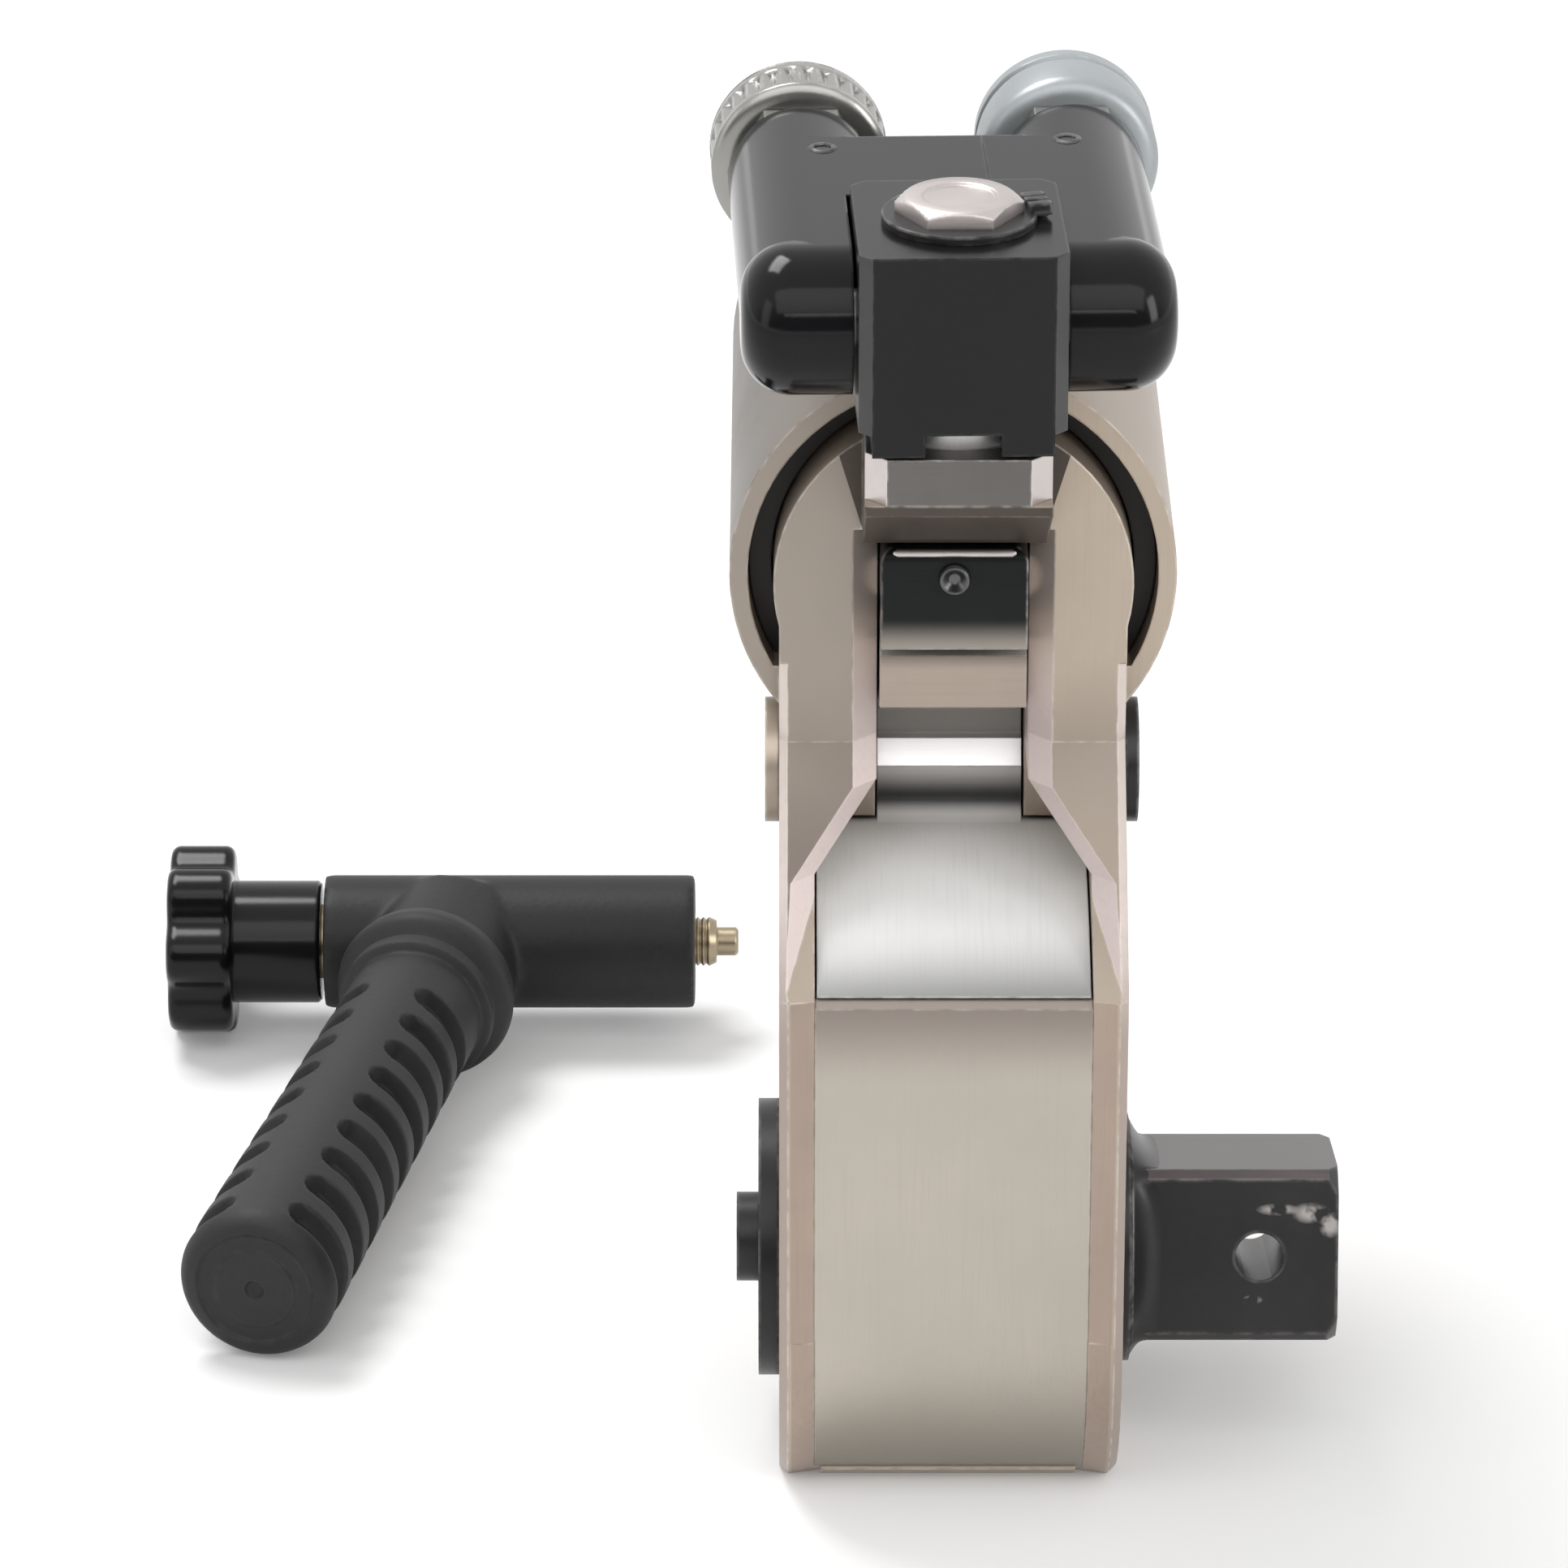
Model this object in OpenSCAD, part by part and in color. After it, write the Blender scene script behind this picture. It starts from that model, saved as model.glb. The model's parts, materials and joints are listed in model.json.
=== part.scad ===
// Hydraulic torque wrench with a crank and ratchet drive, a swivel with two couplers,
// and its positioning handle lying beside it. Millimetres, +Z up. The wrench stands on the
// flat of its nose, with the drive axis along X above the origin and the cylinder towards +Y.

/* [Head] */
// Height of the drive axis above the flat of the nose
drive_z = 30; // [29.5:0.5:32]
// Radius of the round nose
nose_r = 34.5; // [34:0.5:37]
// Half width of the head
head_half = 24.5; // [23.5:0.5:28]
// Thickness of each side plate of the head
side_wall = 5; // [4:0.5:6]
// Height of the shroud's top edge above the drive axis
shroud_h = 53.5; // [50:0.2:53.6]
// Thickness of the shroud's upright front
shroud_t = 5; // [3:0.5:5]
// Angle below the horizontal where the shroud ends under the nose
shroud_low = 52; // [40:1:54]
// Radius of the round cavity about the drive axis
cavity_r = 27.2; // [27:0.1:27.5]
// Radius of the boss for the handle
boss_r = 8.9; // [7:0.1:10]
// Distance by which the boss stands proud of the side plate
boss_t = 2; // [1:0.5:4]
// Height of the boss above the drive axis
boss_h = 76; // [72:0.5:80]
// Radius of the tapped hole in the boss
boss_hole_r = 3.4; // [2.5:0.1:4.2]
// Depth of the tapped hole
boss_hole_depth = 10; // [6:0.5:11]

/* [Cylinder] */
// Height of the cylinder's axis above the drive axis
arm = 106; // [104:0.5:110]
// Outside radius of the barrel
barrel_r = 31.5; // [30:0.5:33]
// Front face of the barrel's rim
barrel_front = -4; // [-5:0.5:-2]
// Radius of the recess in the barrel's mouth
mouth_r = 28.9; // [27:0.1:29.5]
// Depth of the recess in the barrel's mouth
mouth_depth = 14; // [5:0.5:16]
// Radius of the round yoke inside the mouth
yoke_r = 25.3; // [24:0.1:26.5]
// Distance by which the yoke stands in front of the barrel's rim
yoke_proud = 4; // [2:0.5:6]
// Half width of the channel in the yoke
channel_half = 10.7; // [10:0.1:12]
// Chamfer along the channel's front edges
channel_chamfer = 3.4; // [2:0.2:4]
// Radius of the cylinder bore
bore_r = 17; // [16:0.5:19]
// Length of the gland
gland_len = 10; // [8:0.5:14]
// Length of the piston
piston_len = 10; // [8:0.5:14]
// Radius of the piston rod
rod_r = 8; // [6:0.5:9]
// Radius of the rod's spigot in the piston
spigot_r = 6; // [4:0.5:6]
// Width of the piston seal
seal_w = 3.2; // [2:0.2:4]
// Depth of the piston seal
seal_d = 1.9; // [1:0.1:2.5]
// Radius of the end cap
cap_r = 24; // [20:0.5:26]
// Thickness of the end cap
cap_t = 8.4; // [6:0.2:12]

/* [Crank] */
// Position of the rod pin along the cylinder axis at the end of the stroke
pin_y = -3; // [-4:0.5:0]
// Angle through which the crank swings back
crank_swing = 14.2; // [10:0.1:14.2]
// Radius of the rod pin
pin_r = 3.5; // [2.5:0.1:3.5]
// Half width of the crank's plates and shield
crank_half = 19.2; // [18:0.1:19.2]
// Outer radius of the crank's shield
shield_r = 63.4; // [62:0.1:63.4]
// Thickness of the crank's shield
shield_t = 7; // [4:0.5:8]
// Angle of the shield's front edge above the horizontal
shield_front = 57; // [56.5:0.1:60]
// Angle of the shield's rear edge
shield_rear = 112; // [108:0.5:113]
// Radius of the crank's hub
crank_hub_r = 26.3; // [24.5:0.1:26.5]
// Distance of the neck's front behind the drive axis
neck_front = 11.5; // [9:0.5:13]
// Height of the step in the neck's front above the drive axis
neck_step = 70; // [68:0.5:72]
// Depth of the sloping ledge on that step
neck_ledge = 3.6; // [2:0.2:5]
// Length of the beak in front of the drive axis
beak_len = 11; // [8:0.5:12]
// Half thickness of the crank's fork
fork_half = 4; // [3:0.25:4]

/* [Ratchet] */
// Outer radius of the ratchet wheel
ratchet_r = 25.5; // [24.5:0.1:26]
// Depth of a ratchet tooth
tooth_depth = 2.4; // [2:0.1:2.6]
// Number of ratchet teeth
tooth_count = 30; // [24:1:36]
// Half width of the ratchet wheel
ratchet_half = 11; // [9:0.5:11]
// Radius of the wheel's hubs, on which the crank swings
hub_r = 19; // [18:0.5:20]
// Radius of the wheel's journals in the bushings
journal_r = 17; // [16:0.5:17.5]
// Thickness of the bushings
bushing_t = 3.5; // [2.5:0.5:4.5]
// Radius of the pawl's pin
pawl_pin_r = 3; // [2:0.25:3.5]

/* [Drive] */
// Side of the square drive
square = 25.4; // [19.05:0.05:25.4]
// Length of the square
square_len = 30; // [24:0.5:40]
// Chamfer on the square's long edges and end
square_chamfer = 1.2; // [0.5:0.1:2]
// Angle of the square about its axis
square_turn = 13; // [0:1:45]
// Radius of the cross hole in the square
cross_r = 3.5; // [2:0.25:4]
// Distance of the cross hole from the square's end
cross_back = 11.4; // [8:0.2:14]
// Radius of the square drive's collar
collar_r = 18.1; // [16.5:0.1:19]
// Thickness of the square drive's collar
collar_t = 1.9; // [1:0.1:3]
// Radius of the drive's shaft
shaft_r = 13; // [11:0.5:13.5]
// Radius of the retainer disc
disc_r = 20.2; // [19:0.1:22]
// Thickness of the retainer disc
disc_t = 3; // [2:0.5:4]
// Radius of the release button
button_r = 6.5; // [5:0.25:7.5]
// Distance by which the button stands out
button_out = 3.2; // [2:0.2:5]
// Travel of the release button
button_travel = 2.5; // [1.5:0.1:2.5]

/* [Swivel] */
// Position of the swivel's axis
swivel_y = -21.5; // [-22:0.5:-20.5]
// Half width of the pad under the swivel
pad_half = 12.8; // [12:0.1:14]
// Thickness of the pad
pad_t = 6.8; // [6:0.1:6.8]
// Height of the pad's seat above the cylinder axis
pad_seat = 23; // [22.5:0.1:23]
// Length of the pad in front of the swivel's axis
pad_front = 15; // [12:0.5:18]
// Chamfer on the pad's front corners
pad_chamfer = 3; // [1:0.5:4]
// Radius of the swivel post
post_r = 5.6; // [4.5:0.1:6]
// Half width of the swivel block
block_half = 14.2; // [13.6:0.2:15]
// Distance of the block's front from the swivel's axis
block_front = 15.5; // [13:0.5:17]
// Distance of the block's back from the swivel's axis
block_back = 16.5; // [13:0.5:17]
// Bevel on the block's upright edges
block_bevel = 1.8; // [0.5:0.1:3]
// Angle at which the swivel stands
swivel_turn = 2; // [0:1:10]
// Height of the swivel block above its feet
block_h = 25.5; // [23.5:0.5:25.5]
// Height of the block's feet
foot_h = 3.1; // [2:0.1:3.4]
// Gap between the pad and the block's feet
foot_gap = 0.6; // [0.4:0.1:1.5]
// Radius of the washer under the bolt
washer_r = 10.6; // [10:0.1:13]
// Thickness of the washer
washer_t = 1.2; // [1:0.1:2]
// Width across the flats of the swivel bolt
bolt_af = 15.3; // [13:0.1:17]
// Height of the bolt's head
bolt_h = 2.4; // [2:0.1:4.6]
// Half length of the manifold along the tilt axis
limb_out = 29.8; // [29:0.1:33]
// Radius of the manifold's round ends
limb_r = 10.5; // [10:0.1:11]
// Radius of the trunnion pin
trunnion_r = 4; // [3:0.25:5]
// Radius of the hollow that clears the block
web_clear = 22.8; // [22.8:0.1:24]
// Rear face of the web, from the swivel's axis
web_back = 45; // [40:0.5:47]
// Rear face of the limbs, from the swivel's axis
limb_back = 58; // [54:0.5:62]
// Distance of each coupler from the middle
coupler_x = 19.3; // [18.8:0.1:19.5]
// Place of the seam between the manifold's two pieces
seam_x = 5.6; // [2:0.2:8]

/* [Couplers] */
// Radius of the female coupler's collar
female_r = 12.8; // [11.5:0.1:13]
// Radius of the male coupler's collar
male_r = 13; // [11.5:0.1:13]
// Length of the female coupler's collar
female_len = 11.5; // [10:0.5:16]
// Length of the male coupler's collar
male_len = 15; // [12:0.5:18]
// Radius of the coupler bodies under the collars
coupler_r = 9; // [8:0.25:9.5]
// Length of each coupler's hexagon
hex_len = 3; // [2:0.5:6]
// Width across the flats of the coupler's hexagon
hex_af = 18.2; // [17.5:0.1:19]
// Radius of the female coupler's socket
socket_r = 6.5; // [5:0.25:7]
// Depth of the female coupler's socket
socket_depth = 12; // [8:0.5:13]
// Radius of the male coupler's nipple
nipple_r = 6.3; // [5:0.1:7]
// Length of the male coupler's nipple
nipple_len = 10; // [8:0.5:14]

/* [Handle] */
// Left end of the handle's tube
tube_left = -98; // [-104:0.1:-96]
// Length of the handle's tube
tube_len = 59.8; // [56:0.2:62]
// Radius of the handle's tube
tube_r = 10.75; // [10:0.05:11.5]
// Distance of the tube behind the drive axis
tube_y = 135.2; // [130:0.2:142]
// Place along the tube where the grip leaves it
grip_at = 21; // [18:0.5:28]
// Angle of the grip from square to the tube
grip_rake = 12.3; // [0:0.1:20]
// Length of the grip from the tube's axis
grip_len = 121; // [110:1:126]
// Radius of the grip at its root
grip_r0 = 10.9; // [10:0.1:12]
// Radius of the grip at its end
grip_r1 = 12.3; // [11:0.1:12.6]
// Radius of the grip's flange
flange_r = 14.5; // [13:0.1:15]
// Distance of the grip's flange from the tube's axis
flange_at = 17; // [16:0.5:19]
// Thickness of the grip's flange
flange_t = 6; // [3:0.5:8]
// Number of grooves along the grip
groove_count = 9; // [5:1:9]
// Width of each groove
groove_w = 4.8; // [3:0.2:5]
// Depth of each groove
groove_d = 2.2; // [1:0.1:2.6]
// Radius of the bar inside the grip
bar_r = 6; // [5:0.25:7]
// Radius of the handle's knob
knob_r = 15.5; // [15:0.1:17]
// Length of the knob
knob_len = 10.4; // [9:0.2:14]
// Radius of the knob's neck
neck_r = 9.9; // [8:0.1:10.5]
// Length of the knob's neck
neck_len = 14; // [10:0.5:18]
// Gap between the knob's neck and the tube
neck_gap = 0.6; // [0.5:0.1:1.5]
// Number of the knob's lobes
lobe_count = 7; // [5:1:9]
// Radius of the handle's threaded stud
stud_r = 4; // [3:0.25:4]
// Length of the stud
stud_len = 7; // [6:0.5:9]

/* [Fits] */
// Radial clearance of a running fit
run = 0.05; // [0.04:0.01:0.08]
// Clearance between pieces that are seated
seat = 0.04; // [0.02:0.01:0.06]
// Clearance between moving pieces that don't bear on each other
clear = 0.4; // [0.3:0.05:0.5]

/* [Hidden] */
$fn = 96;

// Overshoot of cutting tools past the faces they cut
over = 1;
// Size of the boxes that trim shapes to one side
big = 400;

// Head
cavity_half = head_half - side_wall;
flat_half = sqrt(nose_r * nose_r - drive_z * drive_z);
shield_room = shield_r + 2 * clear;
yoke_front = barrel_front - yoke_proud;
slope_top = 82;
shroud_bevel = 1.6;
shroud_back = 0.5;
plate_bevel = 1.2;
lip_in = 0.55;
lip_w = side_wall - plate_bevel - clear;
lip_step = 0.15;
bevel_top = 94;
back_wall = 6;
flare_low = 66.5;
flare_top = 77;
neck_back = 52;

// Stroke: the pin's line is the cylinder axis, so the crank's fork slides on the pin
rest_lean = atan(pin_y / arm);
back_lean = rest_lean + crank_swing;
pin_back_y = arm * tan(back_lean);
stroke = pin_back_y - pin_y;
fork_slack = 0.4;
fork_slot = pin_r + fork_slack;
fork_tine = 2;
fork_out = fork_slot + fork_tine;
fork_tip = arm / cos(back_lean) + 0.6;
rod_end_half = channel_half - clear;
rod_end_round = 2;
beak_t = 7.9;
beak_root = 13;
neck_rear = 24;
rod_end_h = 7.5;
rod_end_wall = 2.5;
beak_h = arm - rod_end_h - 2 * clear - 1.2;
rod_slot = fork_out / cos(back_lean) + rod_end_h * tan(back_lean) + clear;
rod_end_len = rod_slot + rod_end_wall;
gland_front = pin_back_y + rod_end_len + clear;
gland_back = gland_front + gland_len;
piston_front = gland_back + clear;
cap_front = piston_front + stroke + piston_len + clear;
barrel_back = cap_front + cap_t;
channel_h = arm + rod_end_h + 2 * clear;
bracket_root = pin_y - rod_end_len + 2 * clear;

// Swivel levels
cyl_z = drive_z + arm;
pad_z = cyl_z + pad_seat;
foot_z = pad_z + pad_t + foot_gap;
block_z = foot_z + foot_h;
block_top = block_z + block_h;
tilt_z = block_top - 13.9;
limb_in = block_half + clear;
post_root = 3;
post_foot = 11.5;
web_half_h = limb_r;
hex_y = swivel_y + limb_back;
coupler_y = hex_y + hex_len;

// Drive positions along X
bushing_out = journal_r + run + bushing_t;
wheel_end = head_half;
square_x = wheel_end + collar_t;
square_end = square_x + square_len;
disc_x = -wheel_end - disc_t;
button_len = 9;

// Handle
handle_z = knob_r;
grip_x = tube_left + grip_at;
tube_right = tube_left + tube_len;
rod_bore = 6;
stud_step = 0.5;
groove_arc = 140;
grip_drop = asin((knob_r - grip_r1 - 0.3) / (grip_len - 6));

// Shapes that repeat

// Cylinder along X from x0 to x1 about a line at y and z
module x_rod(x0, x1, r, y = 0, z = 0) {
    translate([x0, y, z]) rotate([0, 90, 0]) cylinder(h = x1 - x0, r = r);
}

// Cylinder along Y from y0 to y1 about a line at x and z
module y_rod(y0, y1, r, x = 0, z = 0) {
    translate([x, y0, z]) rotate([-90, 0, 0]) cylinder(h = y1 - y0, r = r);
}

// Upright cylinder from z0 to z1
module z_rod(z0, z1, r, x = 0, y = 0) {
    translate([x, y, z0]) cylinder(h = z1 - z0, r = r);
}

// Box between two corners
module box(a, b) {
    translate(a) cube([b[0] - a[0], b[1] - a[1], b[2] - a[2]]);
}

// Extrusion along X of an outline drawn in Y and height above the drive axis
module across(x0, x1) {
    translate([x0, 0, drive_z]) rotate([90, 0, 90]) linear_extrude(x1 - x0) children();
}

// Extrusion along Y of an outline drawn in X and height above the drive axis
module along(y0, y1) {
    translate([0, y1, drive_z]) rotate([90, 0, 0]) linear_extrude(y1 - y0) children();
}

// Point about the drive axis at a radius and an angle above the front horizontal
function polar(r, a) = [-r * cos(a), r * sin(a)];

// Outline of a wedge about the drive axis between two angles
module wedge(r, a0, a1) {
    polygon(concat([[0, 0]], [for (i = [0:8]) polar(r, a0 + (a1 - a0) * i / 8)]));
}

// Places children with +Z along the grip's axis, from the tube's axis
module on_grip() {
    translate([grip_x, tube_y, handle_z])
        rotate([0, 0, -grip_rake])
            rotate([90 + grip_drop, 0, 0]) children();
}

// Head and cylinder

// Side outline of the head and neck
module head_outline() {
    difference() {
        union() {
            circle(r = nose_r);
            polygon([[-nose_r, 0], [-nose_r, shroud_h], [yoke_front, slope_top], [yoke_front, arm],
                [barrel_front + 34, arm], [neck_back - 2, arm - 22], [neck_back, arm - 44],
                [nose_r + 9, 36], [nose_r, 0]]);
        }
        translate([-big / 2, -drive_z - big]) square([big, big]);
    }
}

// Side outline of the shroud, which the head leaves free
module shroud_outline(back = 0, bevel = 0) {
    intersection() {
        difference() {
            union() {
                circle(r = nose_r - back);
                translate([back - nose_r, 0]) square([nose_r - back, shroud_h]);
            }
            circle(r = cavity_r);
            polygon([[-cavity_r, 0], [-nose_r + shroud_t, 12], [-nose_r + shroud_t, shroud_h + over],
                [over, shroud_h + over], [over, 0]]);
            // Bevel along the top edge
            polygon([[-nose_r - over, shroud_h - bevel - over], [-nose_r - over, shroud_h + over],
                [-nose_r + bevel + over, shroud_h + over]]);
        }
        polygon([[0, 0], polar(2 * nose_r, -shroud_low), [-2 * nose_r, -2 * nose_r],
            [-2 * nose_r, shroud_h + 2 * over], [0, shroud_h + 2 * over]]);
    }
}

// Side outline of the wide cavity for the wheel and the crank's plates
module cavity_outline() {
    intersection() {
        union() {
            circle(r = cavity_r);
            polygon([[-cavity_r, 0], [-nose_r + shroud_t, 12], [-nose_r + shroud_t, shroud_h],
                [-nose_r - over, shroud_h], [-nose_r - over, shield_room], [neck_back - 13, shield_room],
                [neck_back - 13, 52], [nose_r, 30], [cavity_r, 0]]);
        }
        circle(r = shield_room);
    }
}

// Side outline of the narrow slot for the crank's neck and the rod end
module slot_outline() {
    polygon([[-nose_r - over, shroud_h + 2 * over], [neck_back - back_wall, shroud_h - back_wall],
        [neck_back - back_wall, arm - bore_r - 3], [gland_front, arm - bore_r - 3], [gland_front, channel_h], [-nose_r - over, channel_h]]);
}

// Depth of the head's sloping front at a height above the drive axis
function slope_y(h) = -nose_r + (yoke_front + nose_r) * (h - shroud_h) / (slope_top - shroud_h);

// Cut that bevels a run of edges; at each point it takes a width along X and a depth along Y
module edge_cut(points, way, widths, depths) {
    count = len(points);
    sections = [for (i = [0:count - 1]) let (u = [way * widths[i], 0, 0], v = [0, depths[i], 0])
        each [points[i] - (u + v) * 0.4, points[i] + u + (u - v) * 0.3, points[i] + v + (v - u) * 0.3]];
    sides = [for (i = [0:count - 2], k = [0:2]) let (a = 3 * i + k, d = 3 * i + (k + 1) % 3)
        each [[a, a + 3, d + 3], [a, d + 3, d]]];
    last = 3 * count - 1;
    skin = concat([[0, 1, 2], [last, last - 1, last - 2]], sides);
    polyhedron(sections, way > 0 ? skin : [for (f = skin) [f[2], f[1], f[0]]]);
}

// Body of the wrench
module housing() {
    color("tan") difference() {
        union() {
            across(-head_half, head_half) head_outline();
            y_rod(barrel_front, barrel_back, barrel_r, 0, cyl_z);
            y_rod(yoke_front, barrel_front + mouth_depth + over, yoke_r, 0, cyl_z);
            across(-pad_half, pad_half) polygon([[swivel_y - pad_front, arm + pad_seat],
                [swivel_y - pad_front, arm + pad_seat - 1.5], [bracket_root, channel_h],
                [barrel_front, channel_h], [barrel_front, arm + pad_seat]]);
        }
        // Seats of the shroud and of the pad
        across(-cavity_half, cavity_half) shroud_outline();
        box([-pad_half - seat, yoke_front - big, pad_z], [pad_half + seat, barrel_front, pad_z + big]);
        // Annular recess in the barrel's mouth
        intersection() {
            difference() {
                y_rod(barrel_front - big, barrel_front + mouth_depth, mouth_r, 0, cyl_z);
                y_rod(yoke_front - big, barrel_front + mouth_depth + over, yoke_r, 0, cyl_z);
            }
            box([-big, barrel_front - 0.01, cyl_z - 14], [big, big, cyl_z + big]);
        }
        // Wide cavity, flared front and narrow slot
        across(-cavity_half, cavity_half) cavity_outline();
        along(-nose_r - over, 8) polygon([[-cavity_half, shroud_h], [-cavity_half, flare_low],
            [-channel_half, flare_top], [channel_half, flare_top],
            [cavity_half, flare_low], [cavity_half, shroud_h]]);
        across(-channel_half, channel_half) slot_outline();
        for (side = [-1, 1]) translate([0, 0, drive_z]) {
            edge_cut([[side * cavity_half, -nose_r, 0], [side * cavity_half, -nose_r, shroud_h],
                [side * cavity_half, slope_y(flare_low), flare_low],
                [side * channel_half, slope_y(flare_top), flare_top],
                [side * channel_half, yoke_front, slope_top], [side * channel_half, yoke_front, channel_h]], side,
                [lip_w, lip_w, channel_chamfer, channel_chamfer, channel_chamfer, channel_chamfer],
                [lip_in, lip_in, channel_chamfer, channel_chamfer, channel_chamfer, channel_chamfer]);
            edge_cut([[side * head_half, -nose_r, 0], [side * head_half, -nose_r, shroud_h],
                [side * head_half, yoke_front, slope_top], [side * head_half, yoke_front, bevel_top]], -side,
                [plate_bevel, plate_bevel, plate_bevel, plate_bevel],
                [plate_bevel, plate_bevel, plate_bevel, plate_bevel]);
        }
        // The same bevels round the nose
        intersection() {
            for (side = [-1, 1]) translate([0, 0, drive_z]) rotate([0, side * 90, 0]) rotate_extrude() {
                polygon([[nose_r + over, head_half - plate_bevel - over], [nose_r + over, head_half + over],
                    [nose_r - plate_bevel - over, head_half + over]]);
                polygon([[nose_r, cavity_half + lip_w - lip_step], [nose_r + over, cavity_half + lip_w - lip_step],
                    [nose_r + over, cavity_half - over], [nose_r - lip_in, cavity_half - over]]);
            }
            box([-big, -big, -big], [big, 0, drive_z]);
        }
        // Room round the bosses
        for (side = [-1, 1]) x_rod(min(side * head_half, side * big), max(side * head_half, side * big),
            boss_r + clear, 0, drive_z + boss_h);
        // Room for the feet of the turning swivel block
        z_rod(foot_z - clear, foot_z + big, norm([block_half, block_front]) + clear, 0, swivel_y);
        // Cylinder bore with the seat of the end cap
        y_rod(gland_front - over, cap_front, bore_r + run, 0, cyl_z);
        y_rod(cap_front, barrel_back + over, cap_r + seat, 0, cyl_z);
        // Bores of the bushings
        x_rod(-head_half - over, head_half + over, bushing_out + seat, 0, drive_z);
        // Holes behind the bosses
        for (side = [-1, 1]) translate([side * (head_half + over), 0, drive_z + boss_h])
            rotate([0, -side * 90, 0]) cylinder(h = boss_hole_depth - boss_t + over, r = boss_hole_r);
        // Passage for the swivel post
        z_rod(pad_z - post_root, pad_z + over, post_r + seat, 0, swivel_y);
    }
}

module nose_shroud() {
    color("burlywood") across(-cavity_half, cavity_half) shroud_outline(shroud_back, shroud_bevel);
}

// Bearing of the drive in a side plate
module bushing(side) {
    difference() {
        x_rod(min(side * cavity_half, side * head_half), max(side * cavity_half, side * head_half),
            bushing_out, 0, drive_z);
        x_rod(-big, big, journal_r + run, 0, drive_z);
    }
}

module left_bushing() { color("goldenrod") bushing(-1); }

module right_bushing() { color("goldenrod") bushing(1); }

module gland() {
    color("dimgray") difference() {
        y_rod(gland_front, gland_back, bore_r, 0, cyl_z);
        y_rod(gland_front - over, gland_back + over, rod_r + run, 0, cyl_z);
    }
}

module end_cap() {
    color("tan") difference() {
        y_rod(cap_front, barrel_back, cap_r, 0, cyl_z);
        for (side = [-1, 1]) y_rod(barrel_back - cap_t / 2, barrel_back + over, cap_t * 0.3, side * cap_r * 0.58, cyl_z);
    }
}

module left_boss() {
    color("silver") difference() {
        x_rod(-head_half - boss_t, -head_half, boss_r, 0, drive_z + boss_h);
        x_rod(-big, 0, boss_hole_r, 0, drive_z + boss_h);
    }
}

module right_plug() {
    color("black") difference() {
        union() {
            x_rod(head_half, head_half + boss_t, boss_r, 0, drive_z + boss_h);
            x_rod(head_half - boss_hole_depth + 2 * boss_t, head_half, boss_hole_r - seat, 0,
                drive_z + boss_h);
        }
        translate([head_half + boss_t - 1.2, 0, drive_z + boss_h]) rotate([0, 90, 0])
            cylinder(h = 2 * boss_t, r = 4, $fn = 6);
    }
}

// Piston and rod

module piston() {
    color("gainsboro") difference() {
        y_rod(piston_front, piston_front + piston_len, bore_r - run, 0, cyl_z);
        y_rod(piston_front - over, piston_front + piston_len + over, spigot_r + seat, 0, cyl_z);
        difference() {
            y_rod(piston_front + piston_len / 2 - seal_w / 2, piston_front + piston_len / 2 + seal_w / 2,
                bore_r + over, 0, cyl_z);
            y_rod(piston_front, piston_front + piston_len, bore_r - seal_d, 0, cyl_z);
        }
    }
}

module piston_seal() {
    color("darkslategray") difference() {
        y_rod(piston_front + piston_len / 2 - seal_w / 2, piston_front + piston_len / 2 + seal_w / 2,
            bore_r, 0, cyl_z);
        y_rod(piston_front, piston_front + piston_len, bore_r - seal_d + seat, 0, cyl_z);
    }
}

module piston_rod() {
    color("gainsboro") {
        y_rod(pin_y + rod_end_len, piston_front, rod_r, 0, cyl_z);
        y_rod(piston_front - over, piston_front + piston_len, spigot_r, 0, cyl_z);
    }
}

// Dark block on the rod, hollow below for the crank's fork, with a rounded front edge
module rod_end() {
    color("dimgray") difference() {
        intersection() {
            across(-rod_end_half, rod_end_half) difference() {
                translate([pin_y - rod_end_len, arm - rod_end_h]) square([2 * rod_end_len, 2 * rod_end_h]);
                difference() {
                    translate([pin_y - rod_end_len - over, arm + rod_end_h - rod_end_round])
                        square([rod_end_round + over, rod_end_round + over]);
                    translate([pin_y - rod_end_len + rod_end_round, arm + rod_end_h - rod_end_round])
                        circle(r = rod_end_round);
                }
            }
            along(pin_y - rod_end_len - over, pin_y + rod_end_len + over) union() {
                translate([-rod_end_half, arm - rod_end_h - over])
                    square([2 * rod_end_half, 2 * rod_end_h + over - rod_end_round]);
                translate([rod_end_round - rod_end_half, arm - rod_end_h])
                    square([2 * (rod_end_half - rod_end_round), 2 * rod_end_h]);
                for (side = [-1, 1]) translate([side * (rod_end_half - rod_end_round), arm + rod_end_h - rod_end_round])
                    circle(r = rod_end_round);
            }
        }
        box([-fork_half - clear, pin_y - rod_slot, cyl_z - rod_end_h - over],
            [fork_half + clear, pin_y + rod_slot, cyl_z + rod_end_h - 2.2]);
        x_rod(-rod_end_half - over, rod_end_half + over, pin_r + seat, pin_y, cyl_z);
    }
}

module rod_pin() {
    color("silver") x_rod(-rod_end_half, rod_end_half, pin_r, pin_y, cyl_z);
}

// Crank, ratchet and drive

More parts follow.
